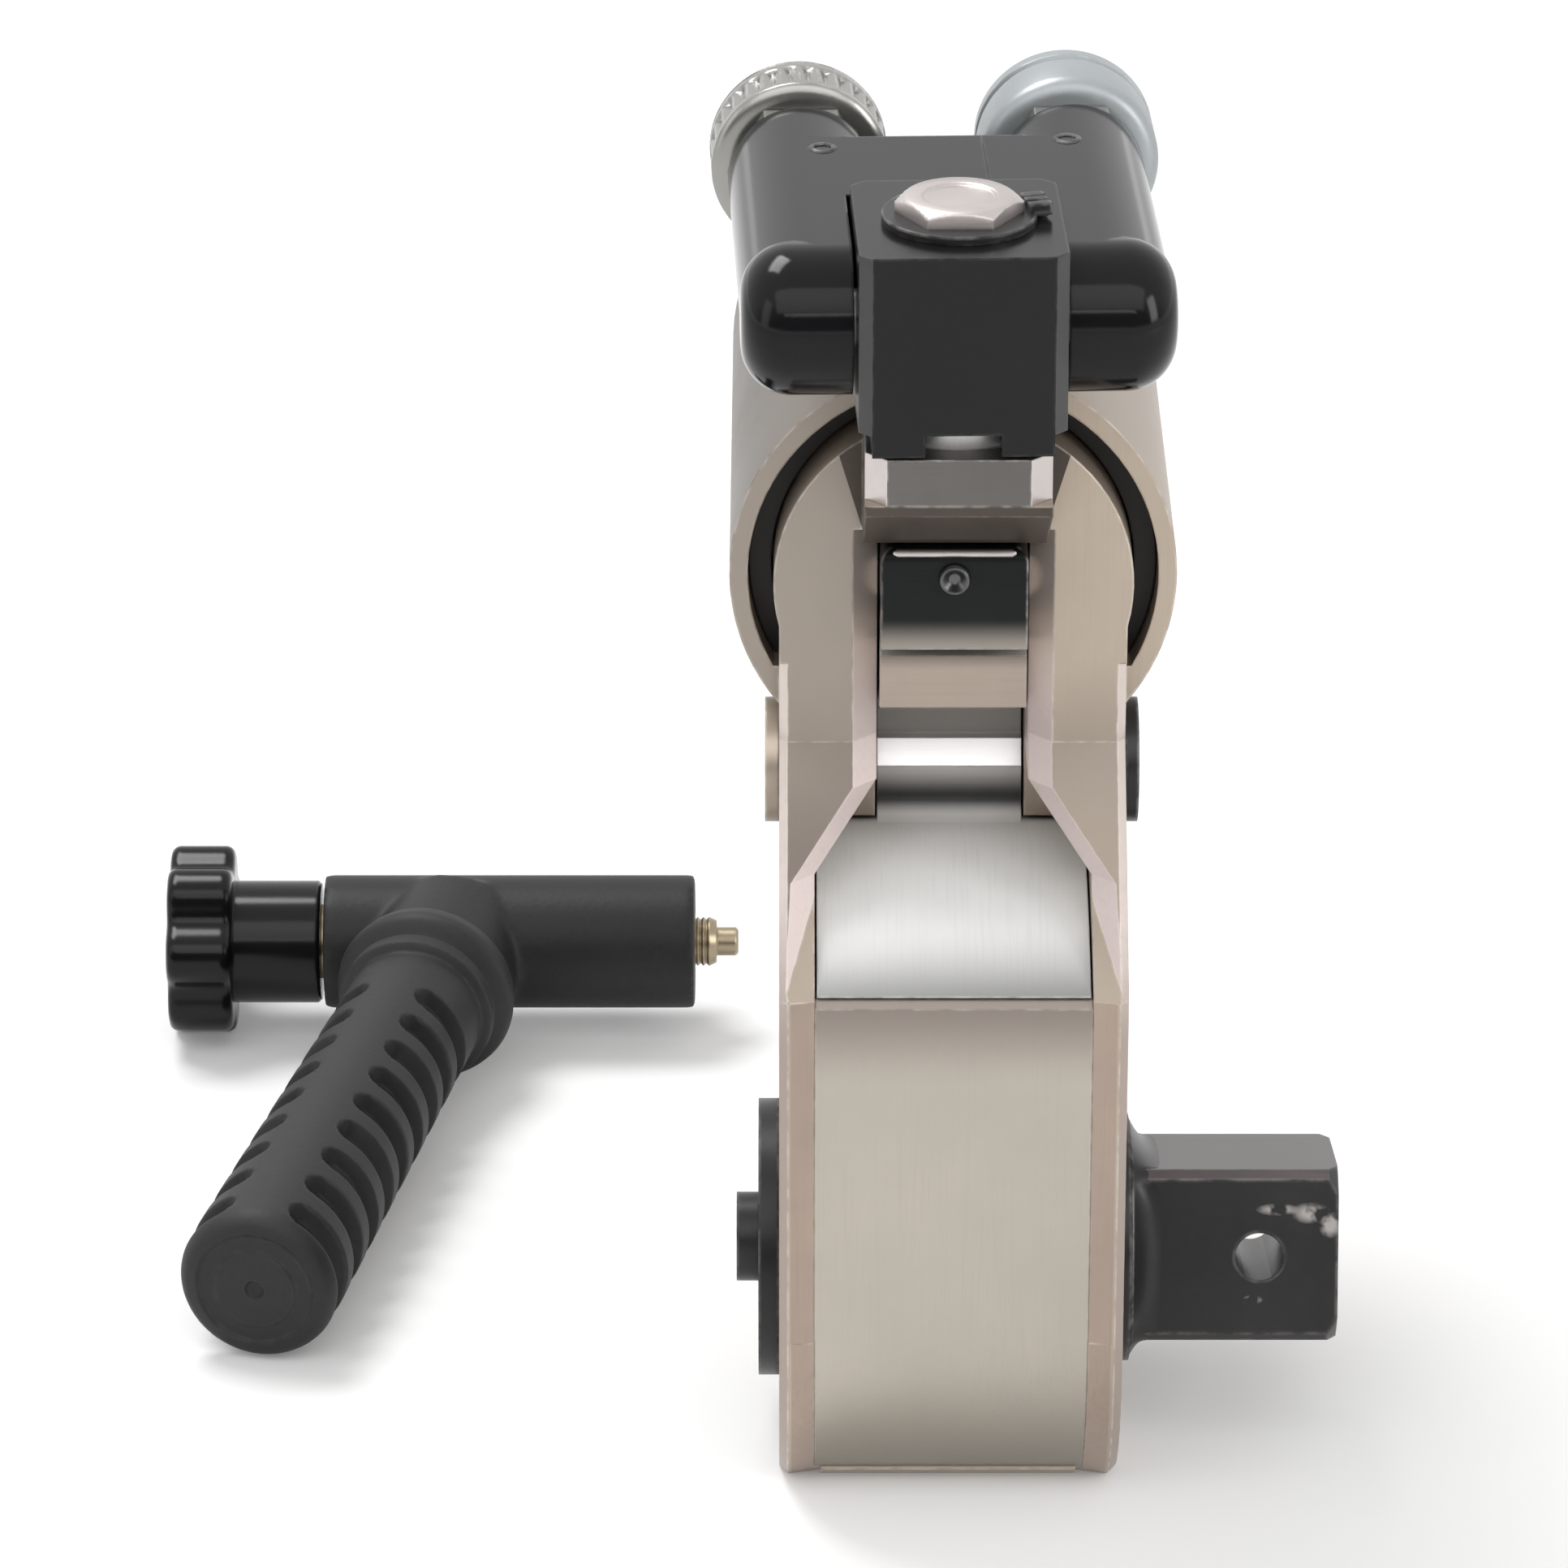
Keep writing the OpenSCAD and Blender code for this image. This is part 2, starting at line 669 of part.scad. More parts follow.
// Side outline of the crank's neck, stepped in front, with a beak under the rod end
module neck_outline() {
    polygon([[neck_front, shield_r - 2 * shield_t], [neck_rear, shield_r - shield_t - over],
        [neck_rear, beak_h - 16], [beak_root, beak_h - 5], [beak_root - 7, beak_h], [-beak_len, beak_h],
        [-beak_len, beak_h - beak_t], [beak_root, neck_step + 2 * neck_ledge + 3],
        [neck_front + neck_ledge, neck_step + 2 * neck_ledge], [neck_front + neck_ledge, neck_step + neck_ledge],
        [neck_front, neck_step]]);
}

// Side outline of the crank's fork, open at the tip, whose slot slides on the rod pin
module fork_outline() {
    rotate(-rest_lean) difference() {
        translate([-fork_out, beak_h - 8]) square([2 * fork_out, fork_tip - beak_h + 8]);
        translate([0, arm / cos(rest_lean) - fork_slack]) circle(r = fork_slot);
        translate([-fork_slot, arm / cos(rest_lean) - fork_slack]) square([2 * fork_slot, arm]);
    }
}

pawl_at = [17, 27.5];
pawl_face = 1;
pawl_eye = 5.5;
pawl_half = ratchet_half - 0.6;
plate_in = ratchet_half + clear;

module crank() {
    color("lightgray") difference() {
        union() {
            for (side = [-1, 1]) across(min(side * plate_in, side * crank_half), max(side * plate_in, side * crank_half))
                union() {
                    circle(r = crank_hub_r);
                    polygon([polar(crank_hub_r - 2, 48), polar(shield_r - shield_t + 1, shield_front + 8),
                        polar(shield_r - shield_t + 2, shield_rear), polar(56, 116),
                        polar(crank_hub_r + 0.7, 145)]);
                }
            across(-crank_half, crank_half) intersection() {
                difference() {
                    circle(r = shield_r);
                    circle(r = shield_r - shield_t);
                    translate([-nose_r - 2 * over, 0]) square([shroud_t + 2 * over + clear, shroud_h + clear]);
                }
                wedge(2 * shield_r, shield_front, shield_rear);
            }
            across(-channel_half + clear, channel_half - clear) neck_outline();
            across(-fork_half, fork_half) fork_outline();
        }
        x_rod(-crank_half - over, crank_half + over, hub_r + run, 0, drive_z);
        x_rod(-crank_half + 3, crank_half + over, pawl_pin_r + seat, pawl_at[0], drive_z + pawl_at[1]);
    }
}

module pawl_pin() {
    color("silver") x_rod(-crank_half + 3, crank_half, pawl_pin_r, pawl_at[0], drive_z + pawl_at[1]);
}

// Spring pawl, whose nose rests behind a tooth
module pawl() {
    tip_r = ratchet_r - tooth_depth + 2 * clear;
    color("gray") across(-pawl_half, pawl_half) difference() {
        union() {
            translate(pawl_at) circle(r = pawl_eye);
            polygon([[pawl_at[0] - 2, pawl_at[1] + 5], [pawl_face, ratchet_r + 5], [pawl_face, tip_r],
                [4.2, ratchet_r + clear], [pawl_at[0] - 3, pawl_at[1] - 4.6]]);
        }
        translate(pawl_at) circle(r = pawl_pin_r + run);
    }
}

// Outline of the ratchet wheel, with teeth that face the pawl
module ratchet_outline() {
    step = 360 / tooth_count;
    polygon([for (i = [0:tooth_count - 1]) each [
        polar(ratchet_r - tooth_depth, 90 - i * step), polar(ratchet_r, 90 - i * step),
        polar(ratchet_r, 90 - i * step - 2)]]);
}

module ratchet_wheel() {
    color("gray") difference() {
        union() {
            across(-ratchet_half, ratchet_half) ratchet_outline();
            x_rod(-cavity_half, cavity_half, hub_r, 0, drive_z);
            x_rod(-wheel_end, wheel_end, journal_r, 0, drive_z);
        }
        x_rod(-wheel_end - over, wheel_end + over, shaft_r + seat, 0, drive_z);
    }
}

// Square drive with its collar and the hollow shaft that passes through the wheel
module square_drive() {
    half = square / 2;
    c = square_chamfer;
    color("black") translate([0, 0, drive_z]) rotate([-square_turn, 0, 0]) difference() {
        union() {
            x_rod(-wheel_end, wheel_end, shaft_r);
            x_rod(wheel_end, square_x, collar_r);
            translate([square_x - over, 0, 0]) rotate([90, 0, 90]) linear_extrude(square_len + over)
                polygon([[c - half, -half], [half - c, -half], [half, c - half], [half, half - c],
                    [half - c, half], [c - half, half], [-half, half - c], [-half, c - half]]);
        }
        translate([square_end - cross_back, 0, 0]) rotate([90, 0, 0])
            cylinder(h = 2 * square, r = cross_r, center = true);
        x_rod(-wheel_end - over, -wheel_end + button_len + button_travel, 3 + run);
        // Bevelled end
        difference() {
            x_rod(square_end - 4, square_end + over, square);
            translate([square_end, 0, 0]) rotate([0, -90, 0])
                cylinder(h = 4 + over, r1 = half * 1.414 - 2 * c, r2 = half * 1.414 + 2 * c + over);
        }
    }
}

module retainer_disc() {
    color("black") difference() {
        x_rod(disc_x, -wheel_end, disc_r, 0, drive_z);
        x_rod(disc_x - over, -wheel_end + over, button_r + run, 0, drive_z);
    }
}

// Release button with its stem in the hollow shaft
module release_button() {
    color("dimgray") {
        x_rod(disc_x - button_out, -wheel_end - button_travel - 0.3, button_r, 0, drive_z);
        x_rod(disc_x, -wheel_end + button_len, 3, 0, drive_z);
    }
}

// Swivel and manifold

// Turns what the swivel carries about the post
module swivelled() {
    translate([0, swivel_y, 0]) rotate([0, 0, swivel_turn]) translate([0, -swivel_y, 0]) children();
}

module swivel_base() {
    front = swivel_y - pad_front;
    color("gray") difference() {
        translate([0, 0, pad_z]) linear_extrude(pad_t)
            polygon([[-pad_half, barrel_front - 0.3], [-pad_half, front + pad_chamfer],
                [-pad_half + pad_chamfer, front], [pad_half - pad_chamfer, front],
                [pad_half, front + pad_chamfer], [pad_half, barrel_front - 0.3]]);
        z_rod(pad_z - over, pad_z + pad_t + over, post_r + seat, 0, swivel_y);
    }
}

module swivel_post() {
    color("silver") union() {
        z_rod(pad_z - post_root, block_top, post_r, 0, swivel_y);
        z_rod(pad_z + pad_t, block_z, post_foot, 0, swivel_y);
    }
}

module swivel_washer() {
    color("dimgray") z_rod(block_top, block_top + washer_t, washer_r, 0, swivel_y);
}

module swivel_bolt() {
    top = block_top + washer_t;
    color("lightgray") intersection() {
        translate([0, swivel_y, top]) cylinder(h = bolt_h, r = bolt_af / sqrt(3), $fn = 6);
        translate([0, swivel_y, top]) cylinder(h = bolt_h, r1 = bolt_af / 2 + 2 + bolt_h, r2 = bolt_af / 2 + 0.4);
    }
}

module swivel_block() {
    front = swivel_y - block_front;
    back = swivel_y + block_back;
    b = block_bevel;
    color("black") swivelled() difference() {
        union() {
            translate([0, 0, block_z]) linear_extrude(block_h) polygon([[-block_half + b, front],
                [block_half - b, front], [block_half, front + b], [block_half, back - b],
                [block_half - b, back], [b - block_half, back], [-block_half, back - b],
                [-block_half, front + b]]);
            for (side = [-1, 1]) box([min(side * 5.2, side * (block_half - b)), front, foot_z],
                [max(side * 5.2, side * (block_half - b)), front + 9, block_z]);
        }
        z_rod(foot_z - over, block_top + over, post_r + run, 0, swivel_y);
        z_rod(foot_z - over, block_z, post_foot + clear, 0, swivel_y);
        for (side = [-1, 1]) x_rod(min(side * (post_r + 3), side * (block_half + over)),
            max(side * (post_r + 3), side * (block_half + over)), trunnion_r + seat, swivel_y, tilt_z);
    }
}

// Pin in one side of the block, on which the manifold tilts
module trunnion(side) {
    x_rod(min(side * (post_r + 3), side * (limb_in + 7)), max(side * (post_r + 3), side * (limb_in + 7)),
        trunnion_r, swivel_y, tilt_z);
}

module trunnion_left() { color("silver") swivelled() trunnion(-1); }

module trunnion_right() { color("silver") swivelled() trunnion(1); }

// One limb of the manifold on the +X side: round front end with a domed face, and round rear boss
module limb() {
    dome = 7;
    difference() {
        union() {
            x_rod(limb_in, limb_out - dome, limb_r, swivel_y, tilt_z);
            translate([limb_out - dome - 0.5, swivel_y, tilt_z]) rotate([0, 90, 0]) rotate_extrude() union() {
                square([limb_r - dome, dome + 0.5]);
                square([limb_r, 0.5]);
                translate([limb_r - dome, 0.5]) intersection() {
                    circle(r = dome);
                    square([dome, dome]);
                }
            }
            box([limb_in, swivel_y, tilt_z - web_half_h],
                [coupler_x, swivel_y + web_back, tilt_z + web_half_h]);
            intersection() {
                y_rod(swivel_y, swivel_y + web_back, limb_r, coupler_x, tilt_z);
                box([limb_in, -big, -big], [big, big, big]);
            }
            y_rod(swivel_y + web_back - over, swivel_y + limb_back, limb_r, coupler_x, tilt_z);
        }
        x_rod(limb_in - over, limb_in + 7 + clear, trunnion_r + run, swivel_y, tilt_z);
    }
}

// Web behind the block, between two places along X, hollow towards the block
module web(x0, x1) {
    difference() {
        box([x0, swivel_y + 8, tilt_z - web_half_h], [x1, swivel_y + web_back, tilt_z + web_half_h]);
        x_rod(-limb_in, limb_in, web_clear, swivel_y, tilt_z);
    }
}

module manifold_left() {
    color("dimgray") swivelled() union() {
        mirror([1, 0, 0]) limb();
        web(-limb_in - over, seam_x);
    }
}

module manifold_right() {
    color("dimgray") swivelled() union() {
        limb();
        web(seam_x + seat, limb_in + over);
    }
}

// Hexagon and round body of a coupler at one side, up to a length behind the hexagon
module coupler(side, len) {
    translate([side * coupler_x, hex_y, tilt_z]) rotate([-90, 0, 0])
        cylinder(h = hex_len, r = hex_af / sqrt(3), $fn = 6);
    y_rod(coupler_y - over, coupler_y + len, coupler_r, side * coupler_x, tilt_z);
}

module female_body() {
    color("silver") swivelled() difference() {
        coupler(-1, female_len + 3);
        y_rod(coupler_y + female_len + 3 - socket_depth, coupler_y + big, socket_r, -coupler_x, tilt_z);
    }
}

module male_body() {
    color("silver") swivelled() union() {
        coupler(1, male_len + 2);
        y_rod(coupler_y + male_len, coupler_y + male_len + 2 + nipple_len, nipple_r, coupler_x, tilt_z);
    }
}

// Collar with flutes along its grip
module female_collar() {
    color("silver") swivelled() difference() {
        y_rod(coupler_y + clear, coupler_y + female_len, female_r, -coupler_x, tilt_z);
        y_rod(coupler_y, coupler_y + female_len + over, coupler_r + run, -coupler_x, tilt_z);
        for (i = [0:11]) translate([-coupler_x, coupler_y + 2.5, tilt_z]) rotate([0, i * 30, 0])
            y_rod(0, female_len - 5, 1.6, female_r + 0.7, 0);
    }
}

// Smooth collar with a shallow waist
module male_collar() {
    color("lightsteelblue") swivelled() difference() {
        y_rod(coupler_y + clear, coupler_y + male_len, male_r, coupler_x, tilt_z);
        y_rod(coupler_y, coupler_y + male_len + over, coupler_r + run, coupler_x, tilt_z);
        difference() {
            y_rod(coupler_y + male_len - 5, coupler_y + male_len - 3, male_r + over, coupler_x, tilt_z);
            y_rod(coupler_y, coupler_y + male_len, male_r - 1, coupler_x, tilt_z);
        }
    }
}

// Handle

module handle_tube() {
    color("dimgray") difference() {
        union() {
            x_rod(tube_left, tube_right, tube_r, tube_y, handle_z);
            on_grip() cylinder(h = flange_at, r = grip_r1);
        }
        x_rod(tube_left - over, tube_right - 6, rod_bore + run, tube_y, handle_z);
        x_rod(tube_right - 7, tube_right + over, stud_r + stud_step + run, tube_y, handle_z);
        on_grip() translate([0, 0, rod_bore + 2]) cylinder(h = big, r = bar_r + seat);
    }
}

module grip_bar() {
    color("gray") on_grip() translate([0, 0, rod_bore + 2]) cylinder(h = grip_len - rod_bore - 12, r = bar_r);
}

// Rubber grip with a flange, grooves on both sides and a domed end
module grip() {
    first = flange_at + 3 * flange_t;
    last = grip_len - over;
    pitch = (last - first) / groove_count;
    color("black") on_grip() difference() {
        rotate_extrude() polygon([[bar_r + seat, flange_at], [flange_r - 1, flange_at], [flange_r, flange_at + 1],
            [flange_r, flange_at + flange_t - 2], [flange_r - 2, flange_at + flange_t], [grip_r0, flange_at + flange_t + 1],
            [grip_r1, grip_len - 10], [grip_r1 + 0.3, grip_len - 6], [grip_r1 - 0.6, grip_len - 3],
            [grip_r1 - 3, grip_len - 1], [0, grip_len], [0, grip_len - 10 + seat], [bar_r + seat, grip_len - 10 + seat]]);
        for (side = [0, 180], i = [0:groove_count - 1])
            translate([0, 0, first + (i + 0.5) * pitch - groove_w / 2])
                rotate([0, 0, side + (180 - groove_arc) / 2]) rotate_extrude(angle = groove_arc)
                    translate([grip_r0 + (grip_r1 - grip_r0) * (i + 0.5) / groove_count - groove_d, 0])
                        square([groove_d + 4, groove_w]);
    }
}

// Lobed knob with its round neck
module knob() {
    neck_x = tube_left - neck_gap;
    color("black") {
        x_rod(neck_x - neck_len, neck_x, neck_r, tube_y, handle_z);
        difference() {
            x_rod(neck_x - neck_len - knob_len, neck_x - neck_len + 0.5, knob_r, tube_y, handle_z);
            for (i = [0:lobe_count - 1]) translate([0, tube_y, handle_z]) rotate([i * 360 / lobe_count, 0, 0])
                x_rod(neck_x - neck_len - knob_len - over, neck_x - neck_len + over, 4, 0, knob_r + 1.6);
        }
    }
}

// Stud that the knob turns, running through the tube
module clamp_stud() {
    color("tan") union() {
        x_rod(tube_left - neck_gap, tube_right - 6 - clear, rod_bore, tube_y, handle_z);
        x_rod(tube_right - 8, tube_right, stud_r + stud_step, tube_y, handle_z);
        x_rod(tube_right - over, tube_right + stud_len / 2, stud_r, tube_y, handle_z);
        x_rod(tube_right, tube_right + stud_len, stud_r * 0.58, tube_y, handle_z);
    }
}

housing();
nose_shroud();
left_bushing();
right_bushing();
gland();
end_cap();
left_boss();
right_plug();
swivel_base();
swivel_post();
swivel_washer();
swivel_bolt();
piston();
piston_seal();
piston_rod();
rod_end();
rod_pin();
crank();
pawl_pin();
pawl();
ratchet_wheel();
square_drive();
retainer_disc();
release_button();
swivel_block();
trunnion_left();
trunnion_right();
manifold_left();
manifold_right();
female_body();
male_body();
female_collar();
male_collar();
handle_tube();
grip_bar();
grip();
knob();
clamp_stud();
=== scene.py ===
"""Looks of a hydraulic torque wrench with a crank and ratchet drive, and of its handle beside it."""

import itertools
import json
import logging
import math
from dataclasses import dataclass, field
from enum import Enum
from typing import Callable, Sequence

import bpy
from mathutils import Matrix, Vector

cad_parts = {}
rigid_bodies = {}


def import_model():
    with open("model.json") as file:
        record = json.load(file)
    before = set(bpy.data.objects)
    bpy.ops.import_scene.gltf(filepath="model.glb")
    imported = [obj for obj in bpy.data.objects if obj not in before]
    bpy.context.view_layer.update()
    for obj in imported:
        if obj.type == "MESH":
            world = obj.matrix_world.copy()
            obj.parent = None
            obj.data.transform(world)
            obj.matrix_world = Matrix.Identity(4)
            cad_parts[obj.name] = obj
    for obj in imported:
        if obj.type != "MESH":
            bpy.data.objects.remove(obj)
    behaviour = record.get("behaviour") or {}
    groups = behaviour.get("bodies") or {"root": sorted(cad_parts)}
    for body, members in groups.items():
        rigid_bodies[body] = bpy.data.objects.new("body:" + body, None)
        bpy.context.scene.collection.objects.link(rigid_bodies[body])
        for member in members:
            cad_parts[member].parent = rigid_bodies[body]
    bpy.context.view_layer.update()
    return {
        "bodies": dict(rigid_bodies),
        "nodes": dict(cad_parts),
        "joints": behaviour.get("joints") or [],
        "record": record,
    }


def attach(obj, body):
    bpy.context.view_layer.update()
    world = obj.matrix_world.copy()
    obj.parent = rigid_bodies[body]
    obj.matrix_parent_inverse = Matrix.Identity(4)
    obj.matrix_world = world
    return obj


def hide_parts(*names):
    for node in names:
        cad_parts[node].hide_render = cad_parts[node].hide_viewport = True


Colour = tuple[float, float, float]
Point = tuple[float, float, float]
Pair = tuple[float, float]
Outline = tuple[Pair, ...]
Output = bpy.types.NodeSocket

LOG = logging.getLogger("torque_wrench")
MM = 0.001
SHARP_ANGLE = math.radians(32.0)
NEARLY_NONE = 1e-6
ALONG_X: Point = (1.0, 0.0, 0.0)
ALONG_Y: Point = (0.0, 1.0, 0.0)
ALONG_Z: Point = (0.0, 0.0, 1.0)
BACK_X: Point = (-1.0, 0.0, 0.0)
BACK_Y: Point = (0.0, -1.0, 0.0)
WHITE: Colour = (1.0, 1.0, 1.0)
SEGMENTS = 96
FINE_SEGMENTS = 144
SMALL_SEGMENTS = 48
BOX_FACES = ((0, 1, 3, 2), (4, 6, 7, 5), (0, 4, 5, 1), (2, 3, 7, 6), (0, 2, 6, 4), (1, 5, 7, 3))
STAIN_STOPS: Outline = ((0.32, 0.0), (0.7, 1.0))
LINE_STOPS: Outline = ((0.5, 0.0), (0.78, 0.7))
SPOT_STOPS: Outline = ((0.45, 1.0), (1.0, 0.0))
FLECK_STOPS: Outline = ((0.42, 0.0), (0.56, 0.9))
EDGE_STOPS: Outline = ((0.004, 0.0), (0.05, 1.0))
RUB_STOPS: Outline = ((0.38, 0.1), (0.62, 1.0))
ROUGH_SPREAD: Pair = (0.82, 1.2)
BUMP_DEPTH = 0.0002
BEVEL_SAMPLES = 4


class Grain(Enum):
    """Direction of the fine lines that finishing leaves on metal, as noise scales along X, Y and Z."""

    NONE = (900.0, 900.0, 900.0)
    ACROSS = (60.0, 2600.0, 2600.0)
    UPRIGHT = (2600.0, 2600.0, 60.0)
    LENGTHWISE = (2600.0, 60.0, 2600.0)
    ROUND_X = (2600.0, 60.0, 60.0)


class Axis(Enum):
    """Axis of the shared frame, as its letter."""

    X = "X"
    Y = "Y"
    Z = "Z"


class NodeSheet:
    """Small helper that adds nodes to one material or world and links them."""

    def __init__(self, owner: bpy.types.Material | bpy.types.World) -> None:
        """Empty the owner's nodes, to start afresh."""
        self.owner = owner
        self.owner.use_nodes = True
        self.tree = self.owner.node_tree
        self.tree.nodes.clear()

    def feed(self, socket: bpy.types.NodeSocket, value: object) -> None:
        """Link an output to a socket, or set the socket's own value.

        Args:
            socket: The input socket.
            value: An output socket or a value.
        """
        if isinstance(value, bpy.types.NodeSocket):
            self.tree.links.new(value, socket)
        else:
            socket.default_value = value

    def add(self, kind: str, **values: object) -> bpy.types.Node:
        """Add a node and set its sockets or properties.

        Args:
            kind: Blender's type name of the node, without the ShaderNode prefix.
            values: Socket values, links or properties, by name with underscores for spaces.

        Returns:
            The new node.
        """
        node = self.tree.nodes.new("ShaderNode" + kind)
        for key, value in values.items():
            title = key.replace("_", " ")
            sockets = [s for s in node.inputs if s.name == title and s.enabled]
            if sockets:
                self.feed(sockets[0], value)
            else:
                setattr(node, key, value)
        return node

    def ramp(self, factor: Output, stops: Sequence[Pair]) -> Output:
        """Map a factor through grey stops.

        Args:
            factor: Output to be mapped.
            stops: Two pairs of position and grey value.

        Returns:
            The ramp's colour output.
        """
        node = self.add("ValToRGB", Fac=factor)
        elements = node.color_ramp.elements
        for element, (place, grey) in zip(elements, stops):
            element.position = place
            element.color = (grey, grey, grey, 1.0)
        return node.outputs["Color"]

    def math(self, operation: str, *values: object) -> Output:
        """Add a math node.

        Args:
            operation: What it does.
            values: Two or three values or outputs.

        Returns:
            The output.
        """
        node = self.add("Math", operation=operation)
        for socket, value in zip(node.inputs, values):
            self.feed(socket, value)
        return node.outputs[0]

    def measure(self, operation: str, *vectors: Output) -> Output:
        """Add a vector math node whose result is a number.

        Args:
            operation: What it does.
            vectors: One or two vector outputs.

        Returns:
            The number's output.
        """
        node = self.add("VectorMath", operation=operation)
        for socket, vector in zip(node.inputs, vectors):
            self.feed(socket, vector)
        return node.outputs["Value"]

    def blend(self, factor: object, first: Colour | Output, second: Colour | Output) -> Output:
        """Mix two colours.

        Args:
            factor: Share of the second colour, a value or an output.
            first: Colour or colour output.
            second: Colour or colour output.

        Returns:
            The mixed colour's output.
        """
        node = self.add("MixRGB")
        self.feed(node.inputs[0], factor)
        for socket, value in zip(node.inputs[1:], (first, second)):
            self.feed(socket, (*value, 1.0) if isinstance(value, tuple) else value)
        return node.outputs[0]


@dataclass(frozen=True)
class Noise:
    """One layer of noise.

    Attributes:
        scale: Scale per unit of the place that it lies on.
        detail: Octaves of detail.
        roughness: Weight of the finer octaves.
    """

    scale: float
    detail: float
    roughness: float

    def on(self, sheet: NodeSheet, place: Output) -> Output:
        """Lay the noise on a place and return its factor."""
        node = sheet.add("TexNoise", Vector=place, Scale=self.scale, Detail=self.detail,
                         Roughness=self.roughness)
        return node.outputs[0]


LINES = Noise(1.0, 3.0, 0.6)
STAINS = Noise(38.0, 4.0, 0.62)
FLECKS = Noise(420.0, 2.0, 0.5)


@dataclass(frozen=True)
class Fade:
    """Painted light or shade: a second colour that a finish passes into along an axis.

    Attributes:
        axis: The axis.
        begins: Where the second colour begins, in millimetres.
        full: Where it is full.
        colour: The second colour, linear.
        share: Share of the second colour where it is full.
    """

    axis: Axis
    begins: float
    full: float
    colour: Colour
    share: float = 1.0


@dataclass(frozen=True)
class Finish:
    """Surface finish with fine grain, stains, worn edges that also paint edge highlights, and painted light
    and shade along axes.

    Attributes:
        name: Name of the material.
        slot: The record's material slot.
        colour: Main colour, linear.
        worn: Colour that shows where edges are worn, and that also paints the highlights along edges.
        metallic: Share of bare metal.
        roughness: Mean roughness.
        grain: Direction of the finishing lines.
        grain_depth: Strength of the grain's bump.
        grain_tone: How much the grain changes the colour.
        stain: How much broad stains change the colour.
        wear: Share of the worn colour at edges, part real wear and part painted highlight.
        edge: Radius of the softened edges in metres.
        ior: Index of refraction, which sets the gloss of what isn't bare metal.
        fades: Painted light and shade, colours that it passes into along an axis.
        scuffs: Middles and half sizes, in millimetres, of rubbed places.
    """

    name: str
    slot: str
    colour: Colour
    worn: Colour
    metallic: float = 1.0
    roughness: float = 0.35
    grain: Grain = Grain.NONE
    grain_depth: float = 0.05
    grain_tone: float = 0.08
    stain: float = 0.1
    wear: float = 0.5
    edge: float = 0.0004
    ior: float = 1.45
    fades: tuple[Fade, ...] = ()
    scuffs: tuple[tuple[Point, Point], ...] = ()

    def toned(self, share: float) -> Colour:
        """Return the main colour, lighter or darker by a share."""
        return tuple(min(1.0, c * (1.0 + share)) for c in self.colour)

    def faded(self, sheet: NodeSheet, place: Output, base: Output) -> Output:
        """Blend in the painted light and shade that the finish passes into.

        Args:
            sheet: Nodes of the material.
            place: Output with the place on the piece.
            base: Output with the colour so far.

        Returns:
            The colour output.
        """
        for fade in self.fades:
            along = sheet.add("SeparateXYZ", Vector=place).outputs[fade.axis.value]
            share = sheet.add("MapRange", interpolation_type="SMOOTHSTEP", Value=along,
                              From_Min=fade.begins * MM, From_Max=fade.full * MM, To_Max=fade.share)
            base = sheet.blend(share.outputs[0], base, fade.colour)
        return base

    def scuffed(self, sheet: NodeSheet, place: Output, flecks: Output, base: Output) -> Output:
        """Rub the worn colour through in the scuffed places.

        Args:
            sheet: Nodes of the material.
            place: Output with the place on the piece.
            flecks: Output of the fine noise.
            base: Output with the colour so far.

        Returns:
            The colour output.
        """
        for middle, half in self.scuffs:
            reach = tuple(1.0 / (h * MM) for h in half)
            shift = tuple(-m / h for m, h in zip(middle, half))
            local = sheet.add("Mapping", Vector=place, Scale=reach, Location=shift).outputs[0]
            spot = sheet.ramp(sheet.measure("LENGTH", local), SPOT_STOPS)
            spot = sheet.math("MULTIPLY", spot, sheet.ramp(flecks, FLECK_STOPS))
            base = sheet.blend(spot, base, self.worn)
        return base

    def material(self) -> bpy.types.Material:
        """Build the node material.

        Returns:
            The finished material.
        """
        sheet = NodeSheet(bpy.data.materials.new(self.name))
        place = sheet.add("TexCoord").outputs["Object"]
        stretched = sheet.add("Mapping", Vector=place, Scale=self.grain.value).outputs[0]
        lines = LINES.on(sheet, stretched)
        broad = STAINS.on(sheet, place)
        flecks = FLECKS.on(sheet, place)
        base = sheet.blend(sheet.ramp(broad, STAIN_STOPS), self.toned(-self.stain), self.toned(self.stain))
        base = sheet.blend(sheet.ramp(lines, LINE_STOPS), base, self.toned(-self.grain_tone))
        base = self.faded(sheet, place, base)
        base = self.scuffed(sheet, place, flecks, base)
        soft = sheet.add("Bevel", samples=BEVEL_SAMPLES, Radius=self.edge).outputs[0]
        facing = sheet.measure("DOT_PRODUCT", soft, sheet.add("NewGeometry").outputs["Normal"])
        # Worn colour along the edges: rubbed wear, and a painted highlight where the edges would catch the
        # light.
        edge = sheet.ramp(sheet.math("SUBTRACT", 1.0, facing), EDGE_STOPS)
        rubbed = sheet.math("MULTIPLY", edge, sheet.ramp(flecks, RUB_STOPS))
        base = sheet.blend(sheet.math("MULTIPLY", rubbed, self.wear), base, self.worn)
        low, high = (self.roughness * share for share in ROUGH_SPREAD)
        rough = sheet.add("MapRange", Value=broad, To_Min=low, To_Max=high).outputs[0]
        bump = sheet.add("Bump", Strength=self.grain_depth, Distance=BUMP_DEPTH, Height=lines, Normal=soft)
        shader = sheet.add("BsdfPrincipled", Base_Color=base, Metallic=self.metallic, Roughness=rough,
                           IOR=self.ior, Normal=bump.outputs[0])
        sheet.add("OutputMaterial", Surface=shader.outputs[0])
        return sheet.owner


